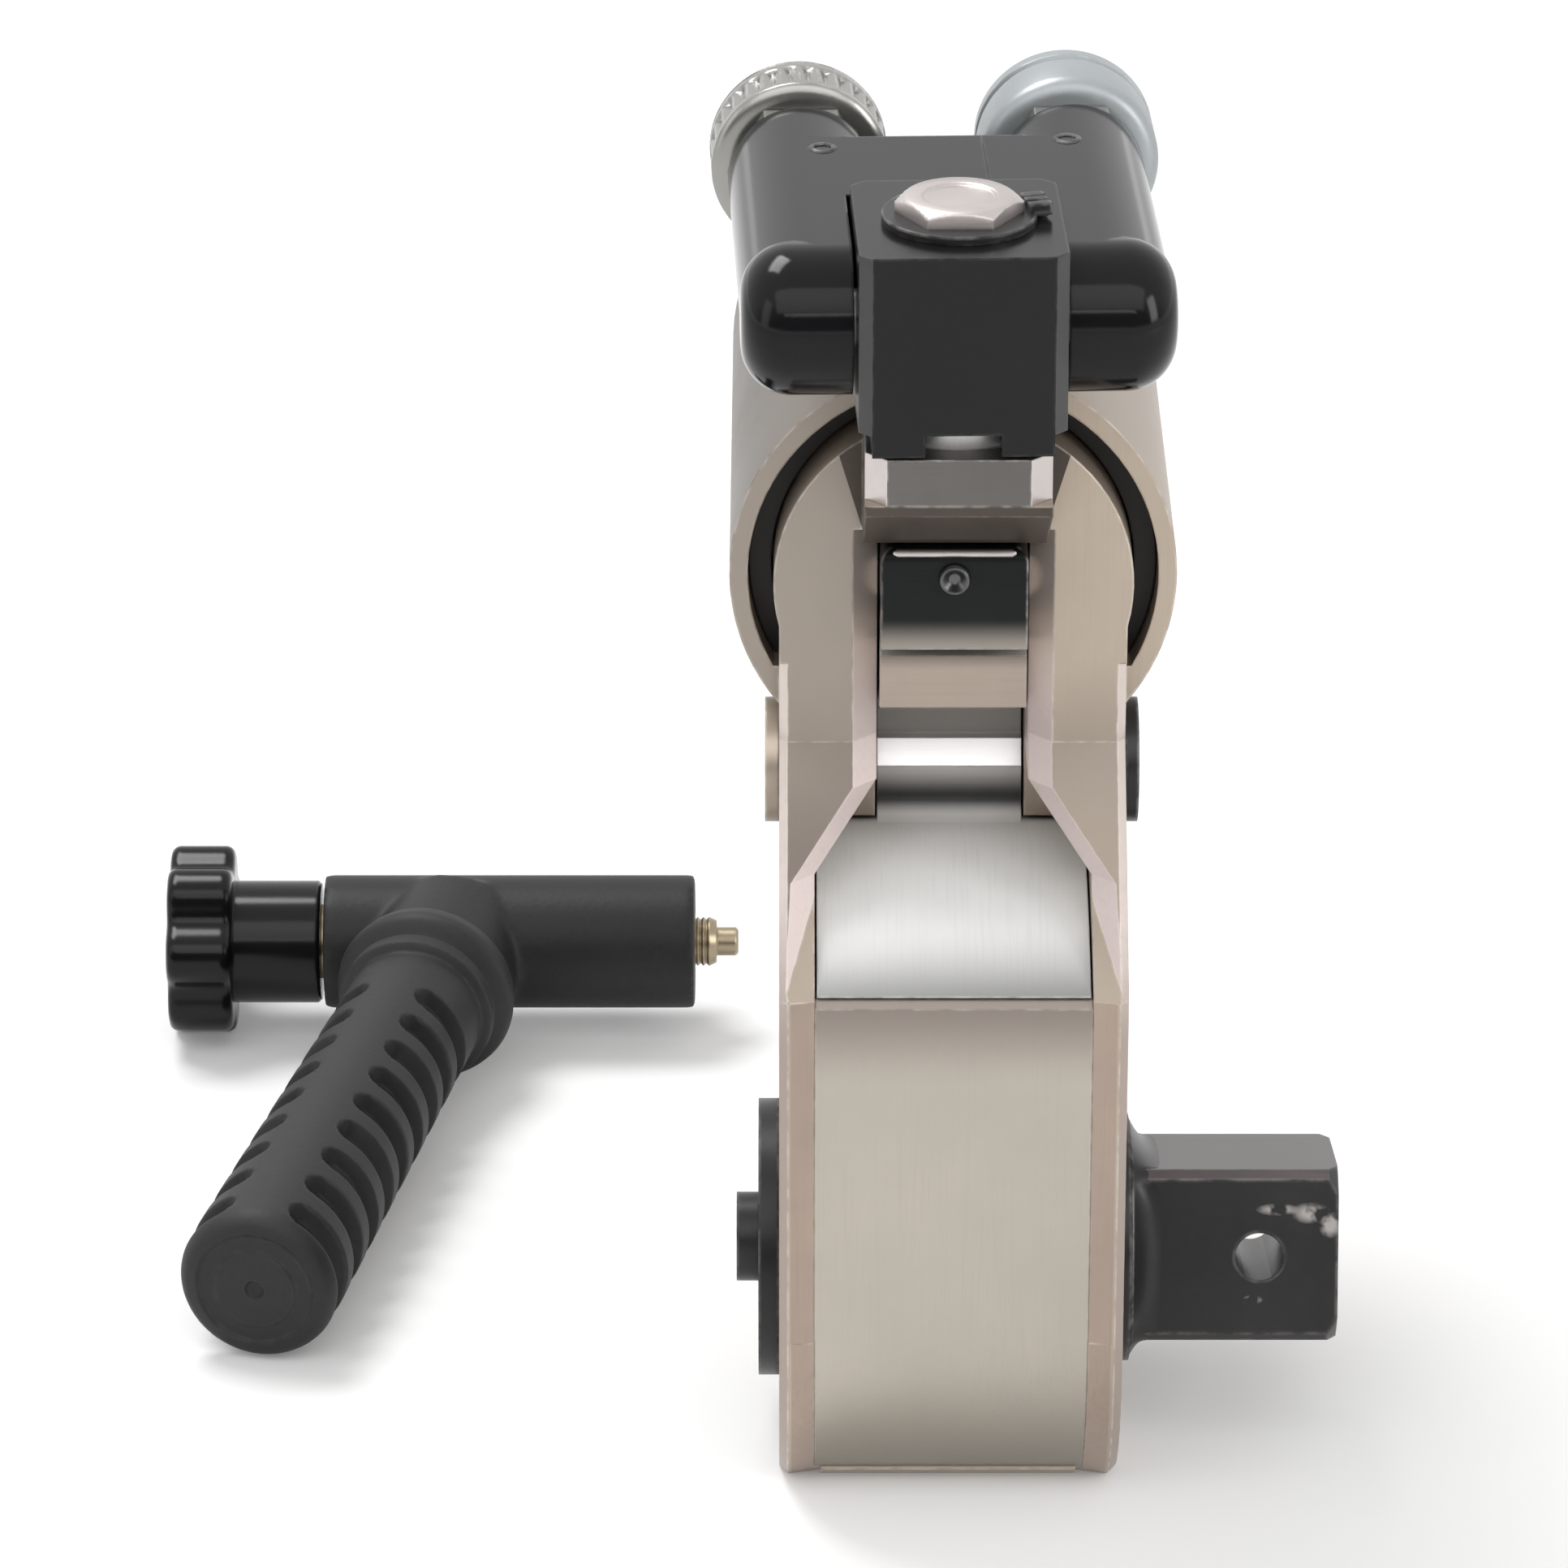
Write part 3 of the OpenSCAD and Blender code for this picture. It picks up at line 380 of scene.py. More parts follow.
class Finishes:
    """All the finishes of the wrench, each made once."""

    nickel = Finish(
        "satin_nickel", "nickel", (0.440, 0.370, 0.304), (0.84, 0.76, 0.68), metallic=0.7,
        roughness=0.4, grain=Grain.UPRIGHT, grain_depth=0.04, grain_tone=0.05, stain=0.07, wear=0.75,
        edge=0.0005)
    # Copy of the nickel for the yoke's upright front, with painted shade that darkens it towards the left; it
    # also darkens towards the bottom.
    cheek = Finish(
        "cheek_nickel", "nickel", (0.466, 0.392, 0.317), (0.84, 0.76, 0.68), metallic=0.7,
        roughness=0.4, grain=Grain.UPRIGHT, grain_depth=0.05, grain_tone=0.08, stain=0.08, wear=0.75,
        edge=0.0005,
        fades=(Fade(Axis.X, 12.0, -14.0, (0.339, 0.295, 0.255)),
               Fade(Axis.Z, 126.0, 111.0, (0.282, 0.242, 0.207), 0.55)))
    # Painted shade: a darker copy of the nickel for the sloping front, darker still towards the left, and a
    # little darker towards the top.
    slope = Finish(
        "slope_nickel", "nickel", (0.327, 0.275, 0.228), (0.84, 0.76, 0.68), metallic=0.6,
        roughness=0.42, grain=Grain.UPRIGHT, grain_depth=0.05, grain_tone=0.08, stain=0.08, wear=0.3,
        edge=0.0004,
        fades=(Fade(Axis.X, 12.0, -14.0, (0.181, 0.152, 0.132)),
               Fade(Axis.Z, 98.0, 113.0, (0.310, 0.267, 0.224), 0.6)))
    # Painted shade: the nose darkens just below the shroud's top edge and towards the floor.
    nose = Finish(
        "nose_nickel", "nickel", (0.462, 0.424, 0.370), (0.8, 0.75, 0.68), metallic=0.7, roughness=0.36,
        grain=Grain.UPRIGHT, grain_depth=0.04, grain_tone=0.06, stain=0.05, wear=0.4, edge=0.0005,
        fades=(Fade(Axis.Z, 70.0, 83.0, (0.260, 0.223, 0.197)),
               Fade(Axis.Z, 26.0, 4.0, (0.277, 0.252, 0.210))))
    # Painted highlight: the bevels along the plates' outer edges are lighter than the nickel, with painted
    # shade darkening them towards the bottom.
    edging = Finish(
        "bevel_highlight", "nickel", (0.666, 0.585, 0.540), (0.95, 0.9, 0.86), metallic=0.5, roughness=0.4,
        grain_depth=0.05, stain=0.1,
        fades=(Fade(Axis.Z, 96.0, 76.0, (0.396, 0.329, 0.288)),))
    strip = Finish(
        "rosy_strip", "nickel", (0.387, 0.304, 0.251), (0.8, 0.7, 0.62), metallic=0.6, roughness=0.38,
        grain=Grain.UPRIGHT, grain_depth=0.05, grain_tone=0.12, stain=0.1)
    # Painted light: the channel's bevels and walls are lighter than the nickel, as if lit, and stay light at
    # the top where they lie in shade.
    flare = Finish(
        "rosy_flare", "nickel", (0.71, 0.61, 0.585), (0.92, 0.84, 0.8), metallic=0.4, roughness=0.4,
        grain_depth=0.04, stain=0.06,
        fades=(Fade(Axis.Z, 116.0, 128.0, (0.72, 0.61, 0.54)),))
    # Painted shade: the nickel of the bracket's front and underside, darkened.
    bracket_shade = Finish(
        "shaded_nickel", "nickel", (0.075, 0.060, 0.050), (0.45, 0.38, 0.33), metallic=0.5,
        roughness=0.4, grain=Grain.ACROSS, grain_depth=0.05, stain=0.12, wear=0.6)
    # Painted reflection: the steel beak's front is coloured like the nickel around it, with painted shade
    # darker towards the top.
    beak = Finish(
        "beak_reflection", "bright_steel", (0.392, 0.322, 0.270), (0.8, 0.72, 0.65), metallic=0.6,
        roughness=0.4, grain=Grain.ACROSS, grain_depth=0.05, stain=0.08, wear=0.2,
        fades=(Fade(Axis.Z, 124.0, 127.0, (0.191, 0.165, 0.144)),))
    # Painted sheen and shade: a near-white matt steel in place of the brushed bulge's reflection, darker
    # towards the bottom and in the crease at the back.
    bulge = Finish(
        "ground_bulge", "bright_steel", (0.94, 0.94, 0.925), (0.95, 0.94, 0.92), metallic=0.0,
        roughness=0.42, ior=1.8, grain=Grain.ROUND_X, grain_depth=0.08, grain_tone=0.1, stain=0.04,
        fades=(Fade(Axis.Z, 90.0, 83.0, (0.27, 0.27, 0.26)),
               Fade(Axis.Y, 7.0, 12.0, (0.09, 0.09, 0.088))))
    # Painted shade: the neck turns nearly black in its crease, passes into the bulge's painted brightness at
    # the bottom, and is darker above the ledge, under the beak.
    neck = Finish(
        "neck_steel", "bright_steel", (0.74, 0.73, 0.71), (0.8, 0.79, 0.77), metallic=0.05,
        roughness=0.42, grain=Grain.ACROSS, grain_depth=0.06, grain_tone=0.1, stain=0.05, wear=0.2,
        fades=(Fade(Axis.Z, 100.0, 95.4, (0.03, 0.03, 0.029)),
               Fade(Axis.Z, 95.0, 93.2, (0.94, 0.94, 0.925)),
               Fade(Axis.Z, 103.4, 104.2, (0.36, 0.35, 0.33))))
    # Painted shade: the barrel darkens towards its left side.
    barrel = Finish(
        "barrel_nickel", "nickel", (0.408, 0.344, 0.285), (0.84, 0.76, 0.68), metallic=0.7,
        roughness=0.4, grain=Grain.LENGTHWISE, grain_depth=0.04, grain_tone=0.05, stain=0.07, wear=0.75,
        edge=0.0005,
        fades=(Fade(Axis.X, -8.0, -31.0, (0.162, 0.141, 0.123)),))
    ledge = Finish(
        "bright_ledge", "bright_steel", (0.84, 0.81, 0.815), (0.9, 0.88, 0.88), metallic=0.9,
        roughness=0.28, grain=Grain.ACROSS, grain_depth=0.05, stain=0.03, edge=0.0002)
    ground = Finish(
        "ground_steel", "bright_steel", (0.78, 0.77, 0.75), (0.92, 0.91, 0.89), metallic=0.6,
        roughness=0.4, grain=Grain.ROUND_X, grain_depth=0.1, grain_tone=0.14, stain=0.05)
    machined = Finish(
        "machined_steel", "dark_steel", (0.141, 0.132, 0.126), (0.85, 0.82, 0.78), metallic=0.85,
        roughness=0.34, grain=Grain.ACROSS, grain_depth=0.08, stain=0.12, wear=0.5, edge=0.0005)
    oiled = Finish(
        "oiled_steel", "dark_steel", (0.144, 0.135, 0.131), (0.6, 0.58, 0.55), roughness=0.4,
        grain=Grain.ACROSS, grain_depth=0.08, stain=0.2, wear=0.8)
    # Painted light: the rod end turns a lighter beige towards its bottom.
    blued = Finish(
        "blued_steel", "dark_steel", (0.011, 0.012, 0.012), (0.62, 0.6, 0.57), metallic=0.2,
        roughness=0.3, grain=Grain.ACROSS, grain_depth=0.05, stain=0.25, wear=0.8, edge=0.0006,
        ior=1.25,
        fades=(Fade(Axis.Z, 133.2, 128.4, (0.34, 0.305, 0.27)),))
    hollow = Finish(
        "hollow_steel", "dark_steel", (0.10, 0.10, 0.102), (0.3, 0.3, 0.3), metallic=0.9,
        roughness=0.26, grain_depth=0.04, stain=0.2, wear=0.1)
    # A lighter, rougher black on the chamfers of the block's front.
    rim = Finish(
        "chamfer_black", "gloss_black", (0.042, 0.042, 0.044), (0.2, 0.2, 0.2), metallic=0.1,
        roughness=0.3, grain_depth=0.05, stain=0.3, wear=0.3)
    oxide = Finish(
        "black_oxide", "black_oxide", (0.023, 0.022, 0.024), (0.30, 0.29, 0.29), metallic=0.2,
        roughness=0.36, grain_depth=0.1, stain=0.3, wear=0.8, edge=0.0007)
    drive = Finish(
        "drive_oxide", "black_oxide", (0.024, 0.023, 0.024), (0.5, 0.47, 0.45), metallic=0.2,
        roughness=0.36, grain_depth=0.1, stain=0.3, wear=0.35, edge=0.0009,
        scuffs=(((47.6, -13.0, 39.7), (3.4, 7.0, 1.0)), ((52.4, -13.0, 39.2), (3.2, 7.0, 1.7)),
                ((55.2, -13.0, 37.6), (1.8, 7.0, 2.2)), ((44.0, -13.0, 26.6), (1.6, 7.0, 0.7))))
    # Painted light: the square's upper faces are a lighter oxide than its front.
    square_top_light = Finish(
        "oxide_lit_top", "black_oxide", (0.114, 0.101, 0.099), (0.4, 0.38, 0.37), metallic=0.2,
        roughness=0.34, grain=Grain.ACROSS, grain_depth=0.08, grain_tone=0.35, stain=0.2, wear=0.5)
    gloss = Finish(
        "gloss_black", "gloss_black", (0.007, 0.007, 0.008), (0.10, 0.10, 0.105), metallic=0.0,
        roughness=0.2, grain_depth=0.03, stain=0.2, wear=0.5, edge=0.0006, ior=1.33)
    coat = Finish(
        "satin_coat", "grey_coat", (0.007, 0.007, 0.008), (0.08, 0.08, 0.085), metallic=0.0,
        roughness=0.1, grain_depth=0.02, stain=0.2, wear=0.4, edge=0.0006, ior=1.29)
    plated = Finish(
        "bright_plating", "plated", (0.340, 0.336, 0.315), (0.92, 0.91, 0.89), metallic=0.85,
        roughness=0.26, grain_depth=0.04, stain=0.08)
    rosy = Finish(
        "worn_plating_and_highlight", "bright_steel", (0.58, 0.53, 0.51), (0.92, 0.88, 0.85), metallic=0.85,
        roughness=0.33, grain=Grain.ACROSS, grain_depth=0.06, stain=0.1)
    pale = Finish(
        "pale_plating", "pale_plating", (0.366, 0.391, 0.401), (0.75, 0.77, 0.79), metallic=0.45,
        roughness=0.36, grain_depth=0.03, stain=0.06)
    bronze = Finish(
        "bearing_bronze", "bronze", (0.42, 0.28, 0.13), (0.7, 0.52, 0.3), roughness=0.4,
        grain_depth=0.1, stain=0.2)
    seal = Finish(
        "seal_rubber", "seal", (0.010, 0.009, 0.008), (0.03, 0.03, 0.03), metallic=0.0, roughness=0.5,
        stain=0.2, wear=0.2)
    tube = Finish(
        "handle_coating", "handle_coat", (0.014, 0.014, 0.015), (0.05, 0.05, 0.052), metallic=0.0,
        roughness=0.5, grain_depth=0.25, grain_tone=0.3, stain=0.2, wear=0.4, ior=1.36)
    rubber = Finish(
        "grip_rubber", "grip_rubber", (0.016, 0.016, 0.017), (0.05, 0.05, 0.052), metallic=0.0,
        roughness=0.58, grain_depth=0.3, grain_tone=0.3, stain=0.25, wear=0.6, edge=0.0007)
    plastic = Finish(
        "knob_plastic", "black_plastic", (0.005, 0.005, 0.006), (0.05, 0.05, 0.055), metallic=0.0,
        roughness=0.16, grain_depth=0.02, stain=0.2, wear=0.3, edge=0.0006, ior=1.33)
    brass = Finish(
        "yellow_plating", "stud_brass", (0.40, 0.33, 0.23), (0.8, 0.7, 0.5), roughness=0.34,
        grain_depth=0.1, stain=0.2)

    def __init__(self) -> None:
        """Start with no material made."""
        self._made: dict[str, bpy.types.Material] = {}

    def get(self, finish: Finish) -> bpy.types.Material:
        """Return a finish's material, made on first use."""
        if finish.name not in self._made:
            self._made[finish.name] = finish.material()
        return self._made[finish.name]


def axis_frame(origin: Point, axis: Sequence[float], up: Sequence[float] = ALONG_Z) -> Matrix:
    """Frame with its local Z along an axis and its local X as near as possible to an upward direction.

    Args:
        origin: Place of the frame in millimetres.
        axis: Direction of the local Z.
        up: Direction that the local X leans towards.

    Returns:
        The matrix, in metres.
    """
    z_dir = Vector(axis).normalized()
    x_dir = Vector(up) - z_dir * Vector(up).dot(z_dir)
    if x_dir.length < NEARLY_NONE:
        x_dir = z_dir.orthogonal()
    x_dir.normalize()
    y_dir = z_dir.cross(x_dir)
    turn = Matrix((x_dir, y_dir, z_dir)).transposed().to_4x4()
    return Matrix.Translation(Vector(origin) * MM) @ turn


def new_piece(name: str, verts: Sequence[Sequence[float]], faces: Sequence[Sequence[int]],
              place: Matrix) -> bpy.types.Object:
    """Make an object from points in millimetres in a local frame.

    Args:
        name: Name of the piece.
        verts: Points in the local frame.
        faces: Corner numbers of each face.
        place: The local frame.

    Returns:
        The object, with its points in the shared frame.
    """
    mesh = bpy.data.meshes.new(name)
    points = [place @ (Vector(v) * MM) for v in verts]
    mesh.from_pydata([tuple(p) for p in points], [], [tuple(f) for f in faces])
    mesh.validate()
    for polygon in mesh.polygons:
        polygon.use_smooth = True
    mesh.set_sharp_from_angle(angle=SHARP_ANGLE)
    mesh.update()
    piece = bpy.data.objects.new(name, mesh)
    bpy.context.scene.collection.objects.link(piece)
    return piece


def loft(name: str, loops: Sequence[Sequence[Point]], place: Matrix,
         closed: bool = False) -> bpy.types.Object:
    """Make a skin through loops of points, all with the same count.

    Args:
        name: Name of the piece.
        loops: Loops in order along the piece.
        place: The local frame.
        closed: True to join the last loop to the first, False to cap both ends.

    Returns:
        The object.
    """
    verts: list[Point] = [point for loop in loops for point in loop]
    count = len(loops[0])
    total = len(loops)
    faces: list[tuple[int, ...]] = []
    for ring in range(total if closed else total - 1):
        here = ring * count
        there = ((ring + 1) % total) * count
        for step in range(count):
            after = (step + 1) % count
            faces.append((here + step, here + after, there + after, there + step))
    if not closed:
        for first, forward in ((0, False), ((total - 1) * count, True)):
            middle = tuple(sum(p[i] for p in verts[first:first + count]) / count for i in range(3))
            hub = len(verts)
            verts.append(middle)
            for step in range(count):
                pair = (first + step, first + (step + 1) % count)
                faces.append((hub, *pair) if forward else (hub, pair[1], pair[0]))
    return new_piece(name, verts, faces, place)


def ring_loop(radius: float | Callable[[float], float], along: float, segments: int) -> list[Point]:
    """Make a loop round the local Z.

    Args:
        radius: One radius in millimetres, or a function that gives it for an angle in radians.
        along: Place along the local Z in millimetres.
        segments: Steps around.

    Returns:
        The points of the loop.
    """
    loop: list[Point] = []
    for step in range(segments):
        angle = 2.0 * math.pi * step / segments
        r = radius(angle) if callable(radius) else radius
        loop.append((r * math.cos(angle), r * math.sin(angle), along))
    return loop


def lathe(name: str, stations: Sequence[float], radius: Callable[[float, float], float], place: Matrix,
          segments: int = SEGMENTS) -> bpy.types.Object:
    """Make a closed round piece whose radius depends on length and angle.

    Args:
        name: Name of the piece.
        stations: Lengths along the local Z in millimetres, in order.
        radius: Radius in millimetres at a length and an angle in radians from the local X.
        place: The local frame.
        segments: Steps around.

    Returns:
        The object.
    """
    loops = [ring_loop(lambda angle, t=t: radius(t, angle), t, segments) for t in stations]
    return loft(name, loops, place)


def turned(name: str, outline: Sequence[Pair], place: Matrix, closed: bool = True,
           segments: int = SEGMENTS) -> bpy.types.Object:
    """Make a solid turned from an outline.

    Args:
        name: Name of the piece.
        outline: Radius and length of each corner, in millimetres, all radii above zero.
        place: The local frame.
        closed: True for a ring, False for a bar that is capped at both ends.
        segments: Steps around.

    Returns:
        The object.
    """
    return loft(name, [ring_loop(r, t, segments) for r, t in outline], place, closed)


def blocks(name: str, corners: Sequence[tuple[Point, Point]], place: Matrix) -> bpy.types.Object:
    """Make one piece from boxes.

    Args:
        name: Name of the piece.
        corners: Low and high corner of each box in millimetres.
        place: The local frame.

    Returns:
        The object.
    """
    verts: list[Point] = []
    faces: list[tuple[int, ...]] = []
    for low, high in corners:
        first = len(verts)
        verts.extend(itertools.product(*zip(low, high)))
        faces.extend(tuple(first + corner for corner in face) for face in BOX_FACES)
    return new_piece(name, verts, faces, place)


def hex_radius(flat: float, angle: float) -> float:
    """Radius of a hexagon at an angle from a corner, from half its width over flats."""
    part = math.radians(60.0)
    return flat / math.cos(angle % part - part / 2.0)


def smooth(value: float, low: float, high: float) -> float:
    """Smooth step of a value from 0 at low to 1 at high."""
    share = min(1.0, max(0.0, (value - low) / (high - low)))
    return share * share * (3.0 - 2.0 * share)


def within(value: float, limits: Pair) -> bool:
    """Say whether a value lies between two limits."""
    return limits[0] < value < limits[1]


class Dresser:
    """Puts finishes on pieces and fixes them to their bodies."""

    def __init__(self, frame: dict) -> None:
        """Keep the frame and make the set of finishes."""
        self.nodes: dict[str, bpy.types.Object] = frame["nodes"]
        self.finishes = Finishes()

    def paint(self, piece: bpy.types.Object, finish: Finish) -> None:
        """Give a piece one finish all over.

        Args:
            piece: The piece.
            finish: Its finish.
        """
        piece.data.materials.clear()
        piece.data.materials.append(self.finishes.get(finish))
        for polygon in piece.data.polygons:
            polygon.material_index = 0

    def node(self, name: str, finish: Finish) -> None:
        """Dress a solid of the frame where it stands."""
        self.paint(self.nodes[name], finish)
        LOG.info("node %s: %s", name, finish.name)

    def faces(self, name: str, finish: Finish, chosen: Callable[[Vector, Vector], bool]) -> None:
        """Give some faces of a solid a finish of their own.

        Args:
            name: Node of the frame, already dressed.
            finish: The finish.
            chosen: Says from a face's middle in millimetres and its normal whether it takes the finish.
        """
        mesh = self.nodes[name].data
        mesh.materials.append(self.finishes.get(finish))
        index = len(mesh.materials) - 1
        count = 0
        for polygon in mesh.polygons:
            if chosen(polygon.center / MM, polygon.normal):
                polygon.material_index = index
                count += 1
        LOG.info("node %s: %s on %d faces", name, finish.name, count)

    def fit(self, piece: bpy.types.Object, body: str, finish: Finish,
            stands_for: Sequence[str] = ()) -> None:
        """Dress a new piece and fix it to a body.

        Args:
            piece: The new piece.
            body: Body that carries it.
            finish: Its finish.
            stands_for: Nodes that it replaces.
        """
        self.paint(piece, finish)
        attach(piece, body)
        if stands_for:
            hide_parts(*stands_for)
        LOG.info("piece %s on %s: %s", piece.name, body, finish.name)


@dataclass
class Head:
    """Housing with the shroud, bearings, cylinder pieces and bosses.

    Lengths are in millimetres. Values that end in _lean are limits for one part of a face's normal.
    """

    cylinder: Point = (0.0, -4.0, 136.0)
    barrel_r: float = 31.0
    shade_ring_outline: Outline = ((25.6, 5.0), (28.7, 5.0), (28.7, 13.6), (25.6, 13.6))
    shade_ring_sweep: float = 151.0
    shade_ring_steps: int = 90
    bolt: Point = (0.0, -21.5, 196.2)
    bolt_flat: float = 7.65
    bolt_h: float = 2.4
    bolt_shank: float = 5.5
    bolt_steps: tuple[float, ...] = (0.0, 0.4, 0.8, 1.2, 1.5, 1.7, 1.9, 2.1, 2.25)
    bolt_slope: float = 0.58
    bolt_face: float = 7.3
    bolt_dish: Outline = ((5.2, 2.4), (4.8, 2.05), (0.5, 2.05))
    tab_in: float = 9.2
    tab_out: float = 12.4
    tab_turn: float = 14.0
    tab_plate: tuple[Point, Point] = ((9.2, -2.4, -0.8), (11.9, 2.2, -0.2))
    ribs: int = 3
    rib_first: float = -2.6
    rib_pitch: float = 1.9
    rib_w: float = 1.2
    rib_z: Pair = (-0.6, 1.1)
    plate_out: float = 24.5
    plate_front: float = -5.0
    cavity_half: float = 19.5
    cavity_slack: float = 0.1
    channel_half: float = 10.7
    channel_slack: float = 0.2
    channel_back: float = 8.0
    shroud_top: float = 83.6
    slope_low: float = 83.1
    bevel_w: float = 1.4
    bevel_top: float = 124.2
    flare_w: float = 1.2
    bracket_z: Pair = (143.0, 159.2)
    bracket_half: float = 14.6
    front_lean: float = -0.95
    slope_lean: float = 0.5
    side_lean: float = 0.9
    none_lean: float = 0.1
    bevel_lean: Pair = (0.4, 0.9)
    flare_lean: Pair = (0.15, 0.9)
    flare_front_lean: float = -0.2
    strip_lean: Pair = (0.06, 0.35)
    pad_lean: Pair = (0.3, 0.9)
    plain: dict[str, Finish] = field(default_factory=lambda: {
        "housing": Finishes.nickel, "nose_shroud": Finishes.nose, "left_bushing": Finishes.bronze,
        "right_bushing": Finishes.bronze, "gland": Finishes.oiled, "end_cap": Finishes.nickel,
        "left_boss": Finishes.nickel, "right_plug": Finishes.oxide, "swivel_base": Finishes.machined,
        "swivel_post": Finishes.ground, "swivel_washer": Finishes.oxide})

    def cheek_face(self, middle: Vector, normal: Vector) -> bool:
        """Say whether a face is on the upright front of the yoke or on the barrel's rim."""
        return normal.y < self.front_lean and middle.y < 0.0 and middle.z > self.shroud_top

    def slope_face(self, middle: Vector, normal: Vector) -> bool:
        """Say whether a face is on the sloping front between the shroud and the yoke."""
        leaning = normal.y < -self.slope_lean and normal.z > self.slope_lean
        between = self.slope_low < middle.z < self.bevel_top
        return leaning and between and abs(normal.x) < self.none_lean

    def outer_bevel(self, middle: Vector, normal: Vector) -> bool:
        """Say whether a face is on the bevel along a plate's outer front edge."""
        on_edge = abs(middle.x) > self.plate_out - self.bevel_w and middle.y < self.plate_front
        return on_edge and middle.z < self.bevel_top and within(abs(normal.x), self.bevel_lean)

    def channel_edge(self, middle: Vector, normal: Vector) -> bool:
        """Say whether a face is on the broad bevel or the walls of the channel.

        Args:
            middle: Middle of the face.
            normal: Its normal.

        Returns:
            True on the bevel and on the walls.
        """
        inside = abs(middle.x) < self.plate_out - self.flare_w
        in_front = inside and middle.y < self.channel_back and middle.z > self.shroud_top
        bevel = within(abs(normal.x), self.flare_lean) and normal.y < self.flare_front_lean
        wall = abs(normal.x) > self.side_lean and abs(middle.x) < self.channel_half + self.channel_slack
        return in_front and (bevel or wall)

    def plate_strip(self, middle: Vector, normal: Vector) -> bool:
        """Say whether a face is on the leaning front of a plate beside the shroud."""
        beside = self.cavity_half - self.cavity_slack < abs(middle.x) < self.plate_out - self.bevel_w
        return beside and middle.z < self.shroud_top and within(abs(normal.x), self.strip_lean)

    def bracket_face(self, middle: Vector, normal: Vector) -> bool:
        """Say whether a face is on the front or the underside of the swivel's bracket."""
        under = within(middle.z, self.bracket_z) and middle.y < self.plate_front
        return under and abs(middle.x) < self.bracket_half and normal.z < self.slope_lean

    def barrel_face(self, middle: Vector, normal: Vector) -> bool:
        """Say whether a face is on the round outside of the barrel."""
        away = math.hypot(middle.x - self.cylinder[0], middle.z - self.cylinder[2])
        return away > self.barrel_r and abs(normal.y) < self.none_lean

    def pad_corner(self, middle: Vector, normal: Vector) -> bool:
        """Say whether a face is on a cut corner of the pad under the swivel."""
        return within(abs(normal.x), self.pad_lean)

    def mouth_shade_ring(self) -> bpy.types.Object:
        """Make the black ring of painted shade in the groove of the barrel's mouth, open at the bottom for
        the channel.

        Returns:
            The ring.
        """
        loops: list[list[Point]] = []
        for step in range(self.shade_ring_steps + 1):
            angle = math.radians(self.shade_ring_sweep * (1.0 - 2.0 * step / self.shade_ring_steps))
            loops.append([(r * math.cos(angle), r * math.sin(angle), t) for r, t in self.shade_ring_outline])
        return loft("mouth_shade_ring", loops, axis_frame(self.cylinder, ALONG_Y))

    def bolt_rim(self, height: float, angle: float) -> float:
        """Radius of the bolt's head at a height and an angle, cut by the chamfer's cone."""
        cone = self.bolt_face + (self.bolt_h - height) / self.bolt_slope
        return min(hex_radius(self.bolt_flat, angle), cone)

    def bolt_head(self) -> bpy.types.Object:
        """Make the hexagon bolt with a turned chamfer and a dished face.

        Returns:
            The bolt's head.
        """
        round_part = ((self.bolt_shank, -self.bolt_h), (self.bolt_shank, 0.0))
        loops = [ring_loop(r, t, FINE_SEGMENTS) for r, t in round_part]
        for height in self.bolt_steps:
            loops.append(ring_loop(lambda angle, h=height: self.bolt_rim(h, angle), height, FINE_SEGMENTS))
        top = ((self.bolt_face, self.bolt_h), *self.bolt_dish)
        loops += [ring_loop(r, t, FINE_SEGMENTS) for r, t in top]
        return loft("bolt_head", loops, axis_frame(self.bolt, ALONG_Z, ALONG_X))

    def lock_tab(self) -> bpy.types.Object:
        """Make the ribbed tab that keeps the bolt from turning.

        Returns:
            The tab.
        """
        turn = math.radians(self.tab_turn)
        low, high = self.rib_z
        starts = [self.rib_first + self.rib_pitch * index for index in range(self.ribs)]
        boxes = [((self.tab_in, y, low), (self.tab_out, y + self.rib_w, high)) for y in starts]
        boxes.append(self.tab_plate)
        place = axis_frame(self.bolt, ALONG_Z, (math.cos(turn), math.sin(turn), 0.0))
        return blocks("lock_tab", boxes, place)

    def build(self, dresser: Dresser) -> None:
        """Dress the solids that stand still and add the ring of painted shade, the bolt and the lock tab.

        Args:
            dresser: Puts the finishes on.
        """
        for name, finish in self.plain.items():
            dresser.node(name, finish)
        dresser.faces("housing", Finishes.barrel, self.barrel_face)
        dresser.faces("housing", Finishes.cheek, self.cheek_face)
        dresser.faces("housing", Finishes.slope, self.slope_face)
        dresser.faces("housing", Finishes.edging, self.outer_bevel)
        dresser.faces("housing", Finishes.flare, self.channel_edge)
        dresser.faces("housing", Finishes.strip, self.plate_strip)
        dresser.faces("housing", Finishes.bracket_shade, self.bracket_face)
        # Painted highlight: the pad's cut corners are in bright plating.
        dresser.faces("swivel_base", Finishes.rosy, self.pad_corner)
        # Painted shade: a black ring that darkens the groove in the barrel's mouth.
        dresser.fit(self.mouth_shade_ring(), "housing", Finishes.seal)
        dresser.fit(self.bolt_head(), "housing", Finishes.rosy, ("swivel_bolt",))
        dresser.fit(self.lock_tab(), "housing", Finishes.oxide)


